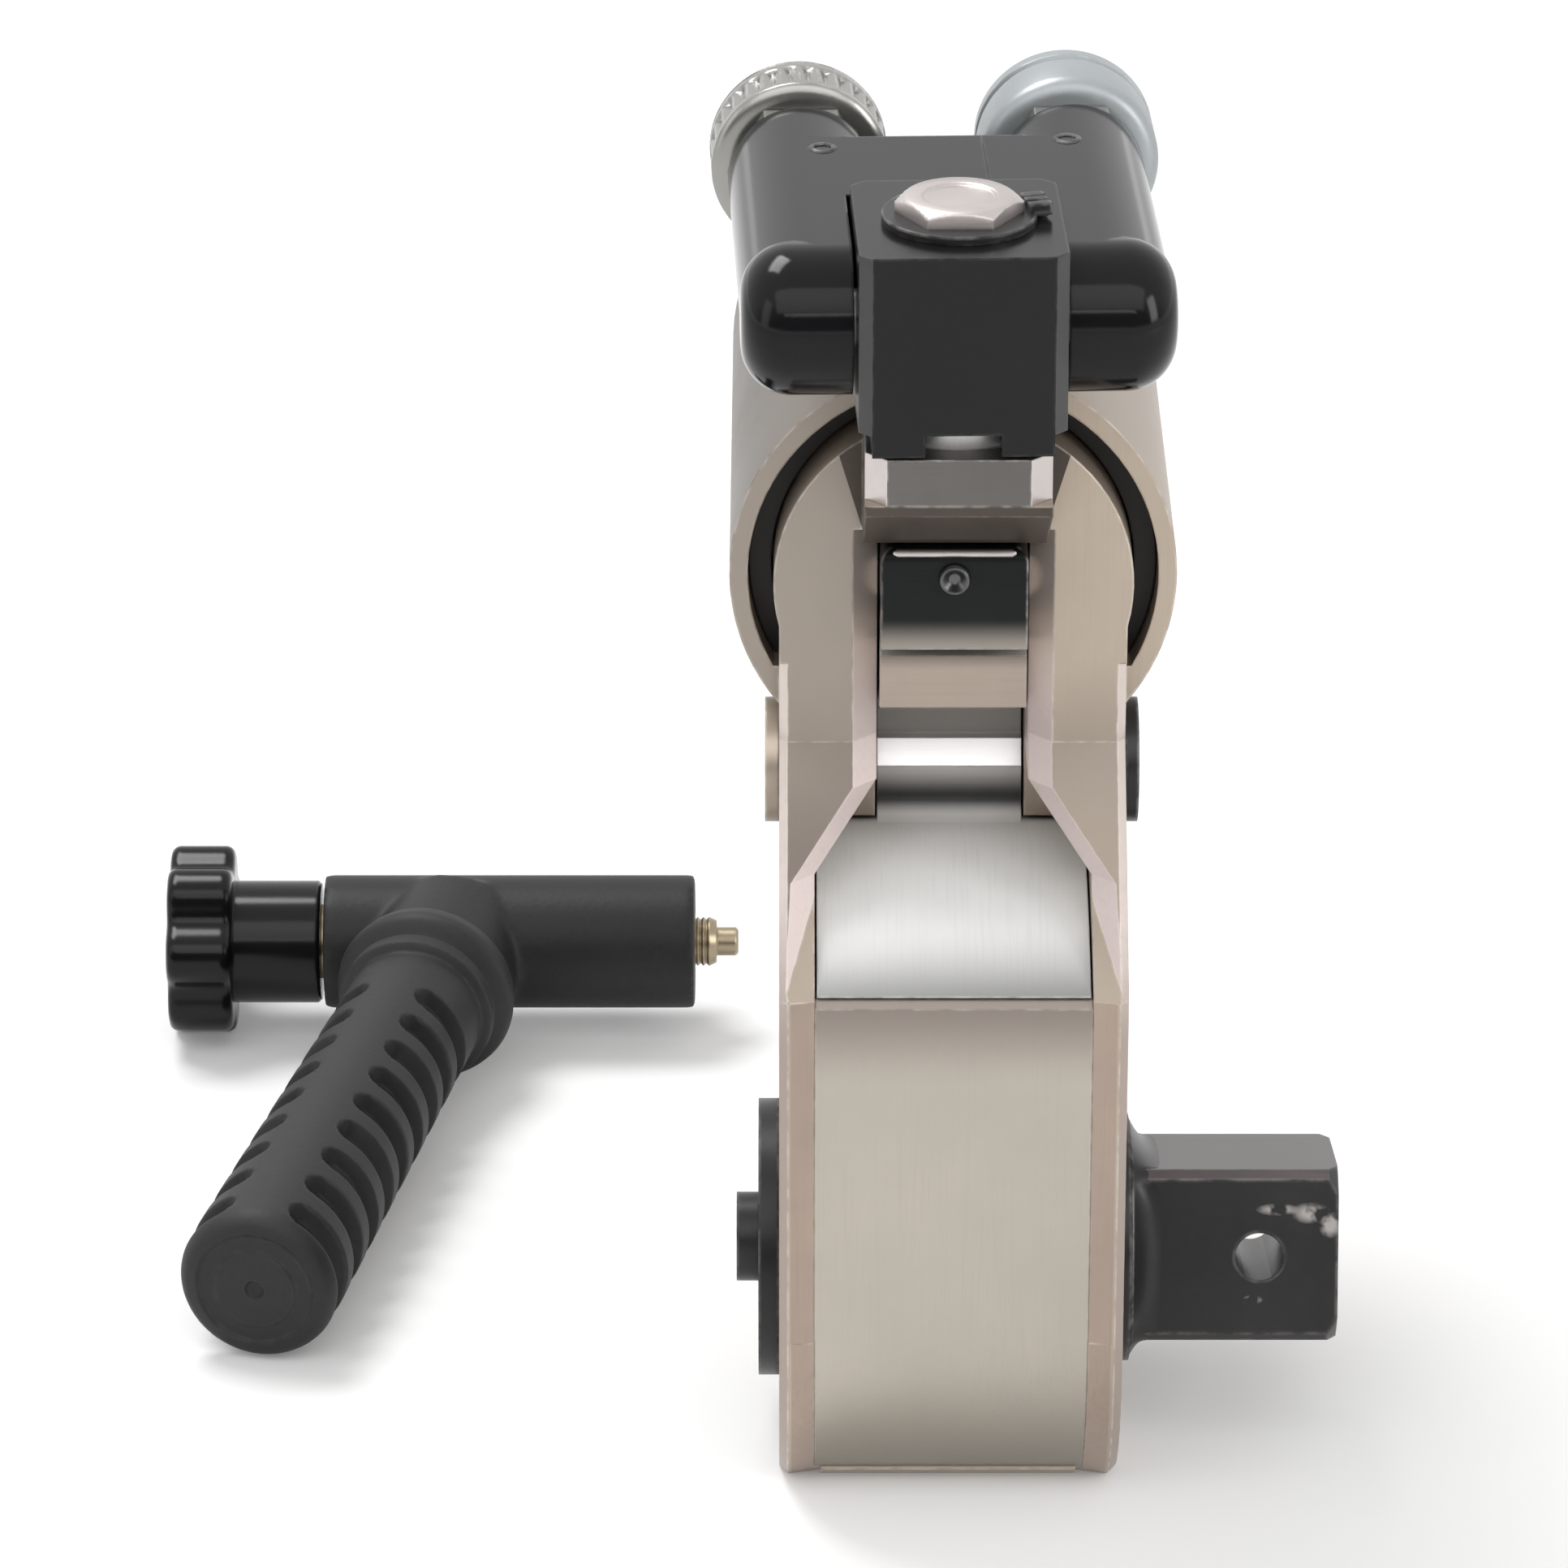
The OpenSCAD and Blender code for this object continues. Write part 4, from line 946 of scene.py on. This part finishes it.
@dataclass
class Drive:
    """Crank, pawl, ratchet, square drive and piston.

    Lengths are in millimetres. Values that end in _lean are limits for one part of a face's normal.
    """

    dimple: Point = (0.0, -13.62, 139.2)
    dimple_outline: Outline = ((2.25, -0.3), (2.25, 0.6), (2.0, 1.0), (1.75, 1.0), (0.76, 0.05),
                               (0.19, 0.03))
    edge: Point = (0.0, -13.25, 142.9)
    edge_outline: Outline = ((0.22, -8.6), (0.55, -8.0), (0.55, 8.0), (0.22, 8.6))
    edge_segments: int = 32
    axle: Point = (0.0, 0.0, 30.0)
    bulge_r: float = 63.4
    bulge_slack: float = 0.4
    beak_low: float = 118.0
    neck_half: float = 10.4
    neck_front: float = 11.3
    fillet_r: float = 3.8
    fillet_z: float = 96.8
    fillet_run: float = 0.3
    fillet_steps: int = 12
    neck: Outline = ((11.3, 100.0), (14.9, 100.0), (14.9, 110.0), (16.5, 110.0), (16.5, 91.0), (6.5, 91.0))
    ledge: Outline = ((11.3, 100.0), (13.2, 103.6), (14.9, 103.6), (14.9, 100.0))
    root_x: float = 26.4
    root_r: float = 17.7
    root_len: float = 5.0
    root_steps: int = 16
    root_sink: float = 0.05
    root_curve: float = 2.2
    square_half: float = 12.7
    square_turn: float = 13.0
    square_from: float = 26.5
    corner_r: float = 17.0
    none_lean: float = 0.1
    front_lean: float = -0.9
    top_lean: float = 0.8
    plain: dict[str, Finish] = field(default_factory=lambda: {
        "piston": Finishes.ground, "piston_seal": Finishes.seal, "piston_rod": Finishes.ground,
        "rod_end": Finishes.blued, "rod_pin": Finishes.ground, "crank": Finishes.ground,
        "pawl_pin": Finishes.ground, "pawl": Finishes.oiled, "ratchet_wheel": Finishes.oiled,
        "square_drive": Finishes.drive, "retainer_disc": Finishes.oxide, "release_button": Finishes.oxide})

    def on_bulge(self, middle: Vector, normal: Vector) -> bool:
        """Say whether a face is on the round outside of the crank's shield."""
        away = math.hypot(middle.y - self.axle[1], middle.z - self.axle[2])
        outside = away > self.bulge_r - self.bulge_slack and abs(normal.x) < self.none_lean
        return outside and middle.z < self.axle[2] + self.bulge_r

    def on_beak(self, middle: Vector, normal: Vector) -> bool:
        """Say whether a face is on the front of the crank's beak."""
        return middle.z > self.beak_low and normal.y < self.front_lean

    def on_square_top(self, middle: Vector, normal: Vector) -> bool:
        """Say whether a face is on the upper side of the square."""
        return normal.z > self.top_lean and middle.x > self.square_from

    def rod_dimple(self) -> bpy.types.Object:
        """Make the hollow set screw in the front of the rod end."""
        place = axis_frame(self.dimple, BACK_Y)
        return turned("rod_dimple", self.dimple_outline, place, False, SMALL_SEGMENTS)

    def rod_edge_highlight(self) -> bpy.types.Object:
        """Make the rounded bead along the top of the rod end, a painted highlight in bright plating."""
        place = axis_frame(self.edge, ALONG_X)
        return turned("rod_edge_highlight", self.edge_outline, place, False, self.edge_segments)

    def root_radius(self, along: float, angle: float) -> float:
        """Radius of the fillet that passes from the round collar to the square.

        Args:
            along: Length from the collar.
            angle: Angle from the top.

        Returns:
            The radius in millimetres.
        """
        turned_by = angle + math.radians(self.square_turn)
        square = self.square_half / max(abs(math.cos(turned_by)), abs(math.sin(turned_by)))
        square = min(square, self.corner_r) - self.root_sink
        return square + (self.root_r - square) * (1.0 - along / self.root_len) ** self.root_curve

    def drive_root(self) -> bpy.types.Object:
        """Make the fillet at the root of the square.

        Returns:
            The fillet.
        """
        place = axis_frame((self.root_x, self.axle[1], self.axle[2]), ALONG_X)
        stations = [self.root_len * step / self.root_steps for step in range(self.root_steps + 1)]
        return lathe("drive_root", stations, self.root_radius, place, FINE_SEGMENTS)

    def across_neck(self, name: str, section: Sequence[Pair]) -> bpy.types.Object:
        """Make a bar across the crank's neck.

        Args:
            name: Name of the piece.
            section: Its section in Y and Z.

        Returns:
            The bar.
        """
        count = len(section)
        verts = [(x, y, z) for x in (self.neck_half, -self.neck_half) for y, z in section]
        faces: list[tuple[int, ...]] = [tuple(reversed(range(count))), tuple(range(count, 2 * count))]
        for step in range(count):
            after = (step + 1) % count
            faces.append((step, after, count + after, count + step))
        return new_piece(name, verts, faces, Matrix.Identity(4))

    def neck_section(self) -> list[Pair]:
        """Section of the neck's face, with the fillet in which it runs out on the bulge.

        Returns:
            Corners in Y and Z.
        """
        section: list[Pair] = [(self.neck[-1][0], self.fillet_z - self.fillet_r - self.fillet_run)]
        for step in range(self.fillet_steps, -1, -1):
            angle = math.radians(90.0 * step / self.fillet_steps)
            section.append((self.neck_front - self.fillet_r * (1.0 - math.cos(angle)),
                            self.fillet_z - self.fillet_r * math.sin(angle)))
        return section + list(self.neck)

    def build(self, dresser: Dresser) -> None:
        """Dress the solids of the drive train and add the small pieces on them.

        Args:
            dresser: Puts the finishes on.
        """
        for name, finish in self.plain.items():
            dresser.node(name, finish)
        dresser.faces("crank", Finishes.bulge, self.on_bulge)
        dresser.faces("crank", Finishes.beak, self.on_beak)
        dresser.faces("square_drive", Finishes.square_top_light, self.on_square_top)
        dresser.fit(self.rod_dimple(), "piston", Finishes.hollow)
        # Painted highlight: a bright bead on the dark rod end's top edge.
        dresser.fit(self.rod_edge_highlight(), "piston", Finishes.rosy)
        dresser.fit(self.across_neck("neck_face", self.neck_section()), "crank", Finishes.neck)
        dresser.fit(self.across_neck("neck_ledge", self.ledge), "crank", Finishes.ledge)
        dresser.fit(self.drive_root(), "drive", Finishes.oxide)


@dataclass
class Swivel:
    """Swivel block, manifold and couplers.

    Lengths are in millimetres, and places are given before the swivel's turn. Values that end in _lean are
    limits for one part of a face's normal. The outlines of the sleeves give how far a corner lies below the
    full radius, and its length.
    """

    post_y: float = -21.5
    turn: float = 2.0
    axis_z: float = 181.1
    limb_top: float = 10.5
    coupler_x: float = 19.3
    collar_y: float = 39.9
    bore: float = 9.1
    sleeve_segments: int = 180
    female_r: float = 12.75
    female_len: float = 11.1
    female_foot: Outline = ((1.3, 0.0), (0.3, 0.5))
    female_lip: Outline = ((0.6, 10.0), (0.6, 10.4), (0.0, 10.5), (0.5, 11.1))
    ridges: int = 30
    ridge_depth: float = 0.75
    ridge_curve: float = 0.6
    ridge_rise: Pair = (2.0, 2.6)
    ridge_fall: Pair = (8.0, 8.6)
    band_from: float = 0.9
    band_step: float = 0.2
    band_steps: int = 45
    male_r: float = 12.95
    male_len: float = 14.6
    male_outline: Outline = ((2.4, 0.0), (1.5, 0.25), (0.8, 0.7), (0.3, 1.3), (0.0, 2.2), (0.0, 9.4),
                             (0.9, 9.8), (0.9, 11.2), (0.0, 11.6), (0.0, 13.8), (0.8, 14.6))
    screws: Outline = ((-17.0, 18.7), (17.6, 21.5))
    screw_outline: Outline = ((2.1, -1.5), (2.1, 0.0), (1.8, 0.25), (1.302, 0.25), (1.155, -0.5))
    rim_lean: Pair = (0.35, 0.9)
    rim_front_lean: float = -0.3
    rim_up_lean: float = 0.2
    plain: dict[str, Finish] = field(default_factory=lambda: {
        "swivel_block": Finishes.gloss, "trunnion_left": Finishes.ground, "trunnion_right": Finishes.ground,
        "manifold_left": Finishes.coat, "manifold_right": Finishes.coat, "female_body": Finishes.plated,
        "male_body": Finishes.plated})

    def swung(self, x: float, y: float, z: float) -> Point:
        """Turn a place about the swivel's post.

        Args:
            x: Place along X.
            y: Place along Y.
            z: Place along Z.

        Returns:
            The turned place.
        """
        angle = math.radians(self.turn)
        along = y - self.post_y
        return (x * math.cos(angle) - along * math.sin(angle),
                self.post_y + x * math.sin(angle) + along * math.cos(angle), z)

    def hose_axis(self) -> Point:
        """Direction in which the couplers point."""
        angle = math.radians(self.turn)
        return (-math.sin(angle), math.cos(angle), 0.0)

    def on_rim(self, middle: Vector, normal: Vector) -> bool:
        """Say whether a face is on a chamfer of the block's front."""
        upright = normal.y < self.rim_front_lean and abs(normal.z) < self.rim_up_lean
        return upright and within(abs(normal.x), self.rim_lean)

    def ridged(self, along: float, angle: float) -> float:
        """Radius of the female sleeve's ridged band at a length and an angle."""
        band = smooth(along, *self.ridge_rise) * (1.0 - smooth(along, *self.ridge_fall))
        wave = 0.5 + 0.5 * math.cos(self.ridges * angle)
        return self.female_r - self.ridge_depth * band * (1.0 - wave ** self.ridge_curve)

    def female_sleeve(self) -> bpy.types.Object:
        """Make the ridged sleeve of the female coupler.

        Returns:
            The sleeve.
        """
        count = self.sleeve_segments
        foot = [(self.bore, 0.0)] + [(self.female_r - inset, t) for inset, t in self.female_foot]
        band = [self.band_from + self.band_step * index for index in range(self.band_steps)]
        lip = [(self.female_r - inset, t) for inset, t in self.female_lip] + [(self.bore, self.female_len)]
        loops = [ring_loop(r, t, count) for r, t in foot]
        loops += [ring_loop(lambda angle, t=t: self.ridged(t, angle), t, count) for t in band]
        loops += [ring_loop(r, t, count) for r, t in lip]
        place = axis_frame(self.swung(-self.coupler_x, self.collar_y, self.axis_z), self.hose_axis())
        return loft("female_sleeve", loops, place, True)

    def male_sleeve(self) -> bpy.types.Object:
        """Make the smooth sleeve of the male coupler.

        Returns:
            The sleeve.
        """
        outside = [(self.male_r - inset, t) for inset, t in self.male_outline]
        outline = [(self.bore, 0.0), *outside, (self.bore, self.male_len)]
        place = axis_frame(self.swung(self.coupler_x, self.collar_y, self.axis_z), self.hose_axis())
        return turned("male_sleeve", outline, place)

    def limb_screw(self, number: int, x: float, y: float) -> bpy.types.Object:
        """Make one of the small screws on the manifold, at its place in X and Y."""
        place = axis_frame(self.swung(x, y, self.axis_z + self.limb_top), ALONG_Z)
        return turned(f"limb_screw_{number}", self.screw_outline, place, False, SMALL_SEGMENTS)

    def build(self, dresser: Dresser) -> None:
        """Dress the solids of the swivel and make the coupler sleeves and screws.

        Args:
            dresser: Puts the finishes on.
        """
        for name, finish in self.plain.items():
            dresser.node(name, finish)
        dresser.faces("swivel_block", Finishes.rim, self.on_rim)
        dresser.fit(self.female_sleeve(), "female_collar", Finishes.plated, ("female_collar",))
        dresser.fit(self.male_sleeve(), "male_collar", Finishes.pale, ("male_collar",))
        for index, (x, y) in enumerate(self.screws):
            dresser.fit(self.limb_screw(index + 1, x, y), "manifold", Finishes.oxide)


@dataclass
class Handle:
    """Handle that lies beside the wrench, with its grip and clamp knob. Lengths are in millimetres."""

    root: Point = (-77.0, 135.2, 15.5)
    rake: float = 12.3
    drop: float = 1.445
    flange_at: float = 17.0
    flange_end: float = 23.0
    flange_r: float = 14.5
    flange_lip: Pair = (-2.5, 1.0)
    crest_half: float = 2.4
    crest_fall: float = 0.5
    collar_r: float = 12.5
    collar_rise: Pair = (0.0, 0.6)
    collar_fall: Pair = (3.2, 4.2)
    root_r: float = 10.9
    tip_r: float = 12.3
    tip_round: float = 4.0
    tip_share: float = 0.8
    length: float = 121.0
    grip_steps: int = 250
    grip_foot: Pair = (9.4, 16.0)
    grip_end: Outline = ((9.1, 0.05), (8.6, -0.35), (6.5, -0.25), (6.1, 0.1), (1.6, 0.15), (1.1, -0.5))
    slots: int = 9
    slot_first: float = 35.0
    slot_last: float = 120.0
    slot_half: float = 2.5
    slot_depth: float = 2.5
    slot_arc: float = 68.0
    slot_middle: float = 90.0
    slot_wall: Pair = (-0.7, 0.35)
    stud_x: float = -38.2
    stud_len: float = 7.0
    stud_shank: Outline = ((6.0, -60.4), (6.0, -6.4), (4.5, -6.4), (4.5, 0.0))
    stud_end: Outline = ((3.4, 3.5), (2.3, 3.55), (2.3, 6.6), (1.9, 7.0))
    stud_segments: int = 72
    thread_r: float = 4.0
    thread_depth: float = 0.45
    thread_lead: float = 0.05
    pitch: float = 0.9
    neck_x: float = -98.6
    neck_r: float = 9.9
    neck_len: float = 14.0
    neck_edge: float = 0.6
    neck_sink: float = 0.5
    neck_stations: tuple[float, ...] = (0.0, 0.2, 0.4, 0.6, 2.0, 13.6, 14.0)
    knob_r: float = 15.5
    knob_len: float = 10.4
    knob_steps: int = 48
    knob_gap: float = 0.001
    knob_segments: int = 168
    lobes: int = 7
    lobe_depth: float = 2.4
    lobe_curve: float = 1.6
    knob_edge: float = 1.6
    voxel: float = 0.7
    relax_share: float = 0.5
    relax_turns: int = 5

    def direction(self) -> Vector:
        """Direction of the grip, away from the tube."""
        rake = math.radians(self.rake)
        drop = math.radians(self.drop)
        return Vector((-math.sin(rake) * math.cos(drop), -math.cos(rake) * math.cos(drop), -math.sin(drop)))

    def slot_cut(self, along: float, angle: float, body: float) -> float:
        """Depth of the slots in the grip.

        Args:
            along: Length from the tube's axis.
            angle: Angle from the spine along the top.
            body: Radius of the grip there.

        Returns:
            The depth in millimetres, none outside the slots.
        """
        pitch = (self.slot_last - self.slot_first) / self.slots
        place = (along - self.slot_first) / pitch
        if not 0.0 <= place < self.slots:
            return 0.0
        across = (place - math.floor(place) - 0.5) * pitch
        turn = math.degrees(math.atan2(math.sin(angle), math.cos(angle)))
        away = abs(abs(turn) - self.slot_middle)
        round_it = max(0.0, math.radians(away - self.slot_arc) * body + self.slot_half)
        gap = math.hypot(round_it, across) - self.slot_half
        return self.slot_depth * (1.0 - smooth(gap, *self.slot_wall))

    def grip_radius(self, along: float, angle: float) -> float:
        """Radius of the grip's skin.

        Args:
            along: Length from the tube's axis.
            angle: Angle from the spine along the top.

        Returns:
            The radius in millimetres.
        """
        past = along - self.flange_end
        body = self.root_r + (self.tip_r - self.root_r) * max(0.0, past / (self.length - self.flange_end))
        crest_away = abs(along - (self.flange_at + self.crest_half))
        crest = self.flange_r - self.crest_fall * crest_away / self.crest_half
        radius = body + (crest - body) * (1.0 - smooth(past, *self.flange_lip))
        collar = smooth(past, *self.collar_rise) * (1.0 - smooth(past, *self.collar_fall))
        radius = max(radius, body + (self.collar_r - body) * collar)
        end = self.length - along
        if end < self.tip_round:
            bend = (self.tip_round - end) / self.tip_round
            radius -= self.tip_round * (1.0 - math.sqrt(max(0.0, 1.0 - bend ** 2))) * self.tip_share
        return radius - self.slot_cut(along, angle, body)

    def knob_radius(self, along: float, angle: float) -> float:
        """Radius of the knob and its neck.

        Args:
            along: Length from the tube.
            angle: Angle from the top.

        Returns:
            The radius in millimetres.
        """
        if along <= self.neck_len:
            return self.neck_r - self.neck_sink * smooth(self.neck_edge - along, 0.0, self.neck_edge)
        wave = (0.5 + 0.5 * math.cos(self.lobes * angle)) ** self.lobe_curve
        full = self.knob_r - self.lobe_depth * wave
        from_end = min(along - self.neck_len, self.neck_len + self.knob_len - along)
        if from_end < self.knob_edge:
            bend = (self.knob_edge - from_end) / self.knob_edge
            full -= self.knob_edge * (1.0 - math.sqrt(max(0.0, 1.0 - bend * bend)))
        return full

    def grip_skin(self) -> bpy.types.Object:
        """Make the rubber skin of the grip.

        Returns:
            The skin.
        """
        span = self.length - self.flange_at
        stations = [self.flange_at + span * step / self.grip_steps for step in range(self.grip_steps + 1)]
        loops = [ring_loop(*self.grip_foot, FINE_SEGMENTS)]
        for place in stations:
            loops.append(ring_loop(lambda angle, t=place: self.grip_radius(t, angle), place, FINE_SEGMENTS))
        loops += [ring_loop(r, self.length + past, FINE_SEGMENTS) for r, past in self.grip_end]
        return loft("grip_skin", loops, axis_frame(self.root, self.direction()))

    def knob_head(self) -> bpy.types.Object:
        """Make the lobed knob with its neck.

        Returns:
            The knob.
        """
        place = axis_frame((self.neck_x, self.root[1], self.root[2]), BACK_X)
        start = self.neck_len + self.knob_gap
        stations = list(self.neck_stations)
        stations += [start + self.knob_len * step / self.knob_steps for step in range(self.knob_steps)]
        stations.append(self.neck_len + self.knob_len)
        return lathe("knob_head", stations, self.knob_radius, place, self.knob_segments)

    def handle_body(self, tube: bpy.types.Object) -> bpy.types.Object:
        """Make the tube as one skin, with a fillet where its branch begins.

        Args:
            tube: The tube's solid in the frame.

        Returns:
            The filleted tube.
        """
        body = bpy.data.objects.new("handle_body", tube.data.copy())
        bpy.context.scene.collection.objects.link(body)
        remesh = body.modifiers.new("one_skin", "REMESH")
        remesh.mode = "VOXEL"
        remesh.voxel_size = self.voxel * MM
        remesh.use_smooth_shade = True
        relax = body.modifiers.new("fillet", "SMOOTH")
        relax.factor = self.relax_share
        relax.iterations = self.relax_turns
        return body

    def stud_thread(self) -> bpy.types.Object:
        """Make the stud with its thread and dog point.

        Returns:
            The stud.
        """
        outline = list(self.stud_shank)
        for index in range(int(self.stud_len / 2.0 / self.pitch)):
            outline.append((self.thread_r - self.thread_depth, self.pitch * index + self.thread_lead))
            outline.append((self.thread_r, self.pitch * (index + 0.5)))
        outline += self.stud_end
        place = axis_frame((self.stud_x, self.root[1], self.root[2]), ALONG_X)
        return turned("stud_thread", outline, place, False, self.stud_segments)

    def build(self, dresser: Dresser) -> None:
        """Make the grip's skin, the knob, the filleted tube and the stud, and dress the bar.

        Args:
            dresser: Puts the finishes on.
        """
        dresser.fit(self.grip_skin(), "handle", Finishes.rubber, ("grip",))
        dresser.fit(self.knob_head(), "knob", Finishes.plastic, ("knob",))
        tube = self.handle_body(dresser.nodes["handle_tube"])
        dresser.fit(tube, "handle", Finishes.tube, ("handle_tube",))
        dresser.node("grip_bar", Finishes.oiled)
        dresser.fit(self.stud_thread(), "knob", Finishes.brass, ("clamp_stud",))


@dataclass(frozen=True)
class Lamp:
    """One soft box.

    Attributes:
        name: Name of the lamp.
        place: Where it hangs, in metres.
        aim: Point that it faces, in metres.
        size: Width and height in metres.
        power: Power in watts.
    """

    name: str
    place: Point
    aim: Point
    size: Pair
    power: float

    def hang(self) -> None:
        """Hang the lamp in the scene."""
        data = bpy.data.lights.new(self.name, "AREA")
        data.shape = "RECTANGLE"
        data.size, data.size_y = self.size
        data.energy = self.power
        lamp = bpy.data.objects.new(self.name, data)
        lamp.location = self.place
        lamp.rotation_euler = (Vector(self.aim) - Vector(self.place)).to_track_quat("-Z", "Y").to_euler()
        bpy.context.scene.collection.objects.link(lamp)


@dataclass
class Studio:
    """Floor, lamps, world and camera.

    Attributes:
        eye: Place of the camera in millimetres.
        pitch: How far the camera looks down, in degrees.
        focal_px: Focal length in pixels of the photo.
        frame_px: Width of the photo in pixels.
        sensor: Width of the sensor in millimetres.
        clip_end: How far the camera sees, in metres.
        floor_half: Half the floor's width in metres.
        paper: Colour of the floor.
        lift: Glow of the floor where it is seen, first near and then far.
        lift_span: Where the floor is near and where it is far, in metres.
        room: Share of the room's light that isn't mirrored.
        dim: Light low in front.
        dim_span: Heights between which the room passes from dim to bright.
        dim_lean: How much the back of the room counts as height.
        lamps: The soft boxes.
    """

    eye: Point = (-23.8, -1074.110, 569.128)
    pitch: float = 23.5
    focal_px: float = 10110.0
    frame_px: float = 1932.0
    sensor: float = 36.0
    clip_end: float = 100.0
    floor_half: float = 30.0
    paper: float = 0.87
    lift: Pair = (0.15, 1.0)
    lift_span: Pair = (0.6, 3.5)
    room: float = 0.5
    dim: float = 0.14
    dim_span: Pair = (-0.5, 0.35)
    dim_lean: float = 0.8
    lamps: tuple[Lamp, ...] = (
        Lamp("overhead", (-0.42, 0.45, 1.15), (0.0, 0.0, 0.05), (0.6, 0.45), 9.0),
        Lamp("front_box", (0.0, -0.95, 1.15), (0.0, 0.0, 0.1), (2.0, 0.9), 8.2),
        Lamp("camera_strip", (0.0, -1.25, 0.74), (0.0, 0.0, 0.1), (0.9, 0.06), 0.9),
        Lamp("left_box", (-1.1, -0.55, 0.5), (0.0, 0.0, 0.14), (0.4, 0.7), 1.2),
        Lamp("right_box", (1.1, -0.6, 0.55), (0.0, 0.0, 0.14), (0.4, 0.7), 5.0))

    def camera(self) -> None:
        """Set the camera where the photographer stood."""
        data = bpy.data.cameras.new("camera")
        data.sensor_width = self.sensor
        data.lens = self.sensor * self.focal_px / self.frame_px
        data.clip_end = self.clip_end
        eye = bpy.data.objects.new("camera", data)
        eye.location = Vector(self.eye) * MM
        eye.rotation_euler = (math.radians(90.0 - self.pitch), 0.0, 0.0)
        bpy.context.scene.collection.objects.link(eye)
        bpy.context.scene.camera = eye

    def floor_paper(self) -> bpy.types.Material:
        """Make the floor's paper, which glows a little where it is seen, and more far away.

        Returns:
            The material.
        """
        sheet = NodeSheet(bpy.data.materials.new("floor_paper"))
        paper = sheet.add("BsdfDiffuse", Color=(self.paper, self.paper, self.paper, 1.0)).outputs[0]
        path = sheet.add("LightPath").outputs
        seen = sheet.math("MAXIMUM", path["Is Camera Ray"], path["Is Glossy Ray"])
        seen = sheet.math("MAXIMUM", seen, path["Is Transmission Ray"])
        away = sheet.measure("LENGTH", sheet.add("TexCoord").outputs["Object"])
        level = sheet.add("MapRange", interpolation_type="SMOOTHSTEP", Value=away, From_Min=self.lift_span[0],
                          From_Max=self.lift_span[1], To_Min=self.lift[0], To_Max=self.lift[1]).outputs[0]
        strength = sheet.math("MULTIPLY", seen, level)
        glow = sheet.add("Emission", Color=(*WHITE, 1.0), Strength=strength).outputs[0]
        both = sheet.add("AddShader")
        for socket, shader in zip(both.inputs, (paper, glow)):
            sheet.feed(socket, shader)
        sheet.add("OutputMaterial", Surface=both.outputs[0])
        return sheet.owner

    def floor(self) -> None:
        """Lay the pale floor."""
        half = self.floor_half
        mesh = bpy.data.meshes.new("floor")
        corners = [(-half, -half, 0.0), (half, -half, 0.0), (half, half, 0.0), (-half, half, 0.0)]
        mesh.from_pydata(corners, [], [(0, 1, 2, 3)])
        floor = bpy.data.objects.new("floor", mesh)
        bpy.context.scene.collection.objects.link(floor)
        mesh.materials.append(self.floor_paper())

    def world(self) -> None:
        """Make the room: bright above and behind, dim low in front, and white where it is seen."""
        sheet = NodeSheet(bpy.data.worlds.new("room"))
        way = sheet.add("SeparateXYZ", Vector=sheet.add("TexCoord").outputs["Generated"]).outputs
        height = sheet.math("MULTIPLY_ADD", way["Y"], self.dim_lean, way["Z"])
        reach = sheet.add("MapRange", interpolation_type="SMOOTHSTEP", Value=height,
                          From_Min=self.dim_span[0], From_Max=self.dim_span[1], To_Min=self.dim,
                          To_Max=1.0).outputs[0]
        path = sheet.add("LightPath").outputs
        mirrored = sheet.math("MAXIMUM", path["Is Glossy Ray"], path["Is Transmission Ray"])
        level = sheet.add("MapRange", Value=mirrored, To_Min=self.room, To_Max=1.0).outputs[0]
        seen = sheet.blend(path["Is Camera Ray"], sheet.math("MULTIPLY", reach, level), WHITE)
        back = sheet.add("Background", Color=seen, Strength=1.0)
        sheet.add("OutputWorld", Surface=back.outputs[0])
        bpy.context.scene.world = sheet.owner

    def build(self) -> None:
        """Set up the whole studio."""
        self.camera()
        self.floor()
        self.world()
        for lamp in self.lamps:
            lamp.hang()
        bpy.context.scene.view_settings.view_transform = "Standard"


def main() -> None:
    """Build the wrench's looks and the studio."""
    logging.basicConfig(level=logging.INFO)
    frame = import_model()
    Studio().build()
    dresser = Dresser(frame)
    for part in (Head(), Drive(), Swivel(), Handle()):
        part.build(dresser)


if __name__ == "__main__":
    main()
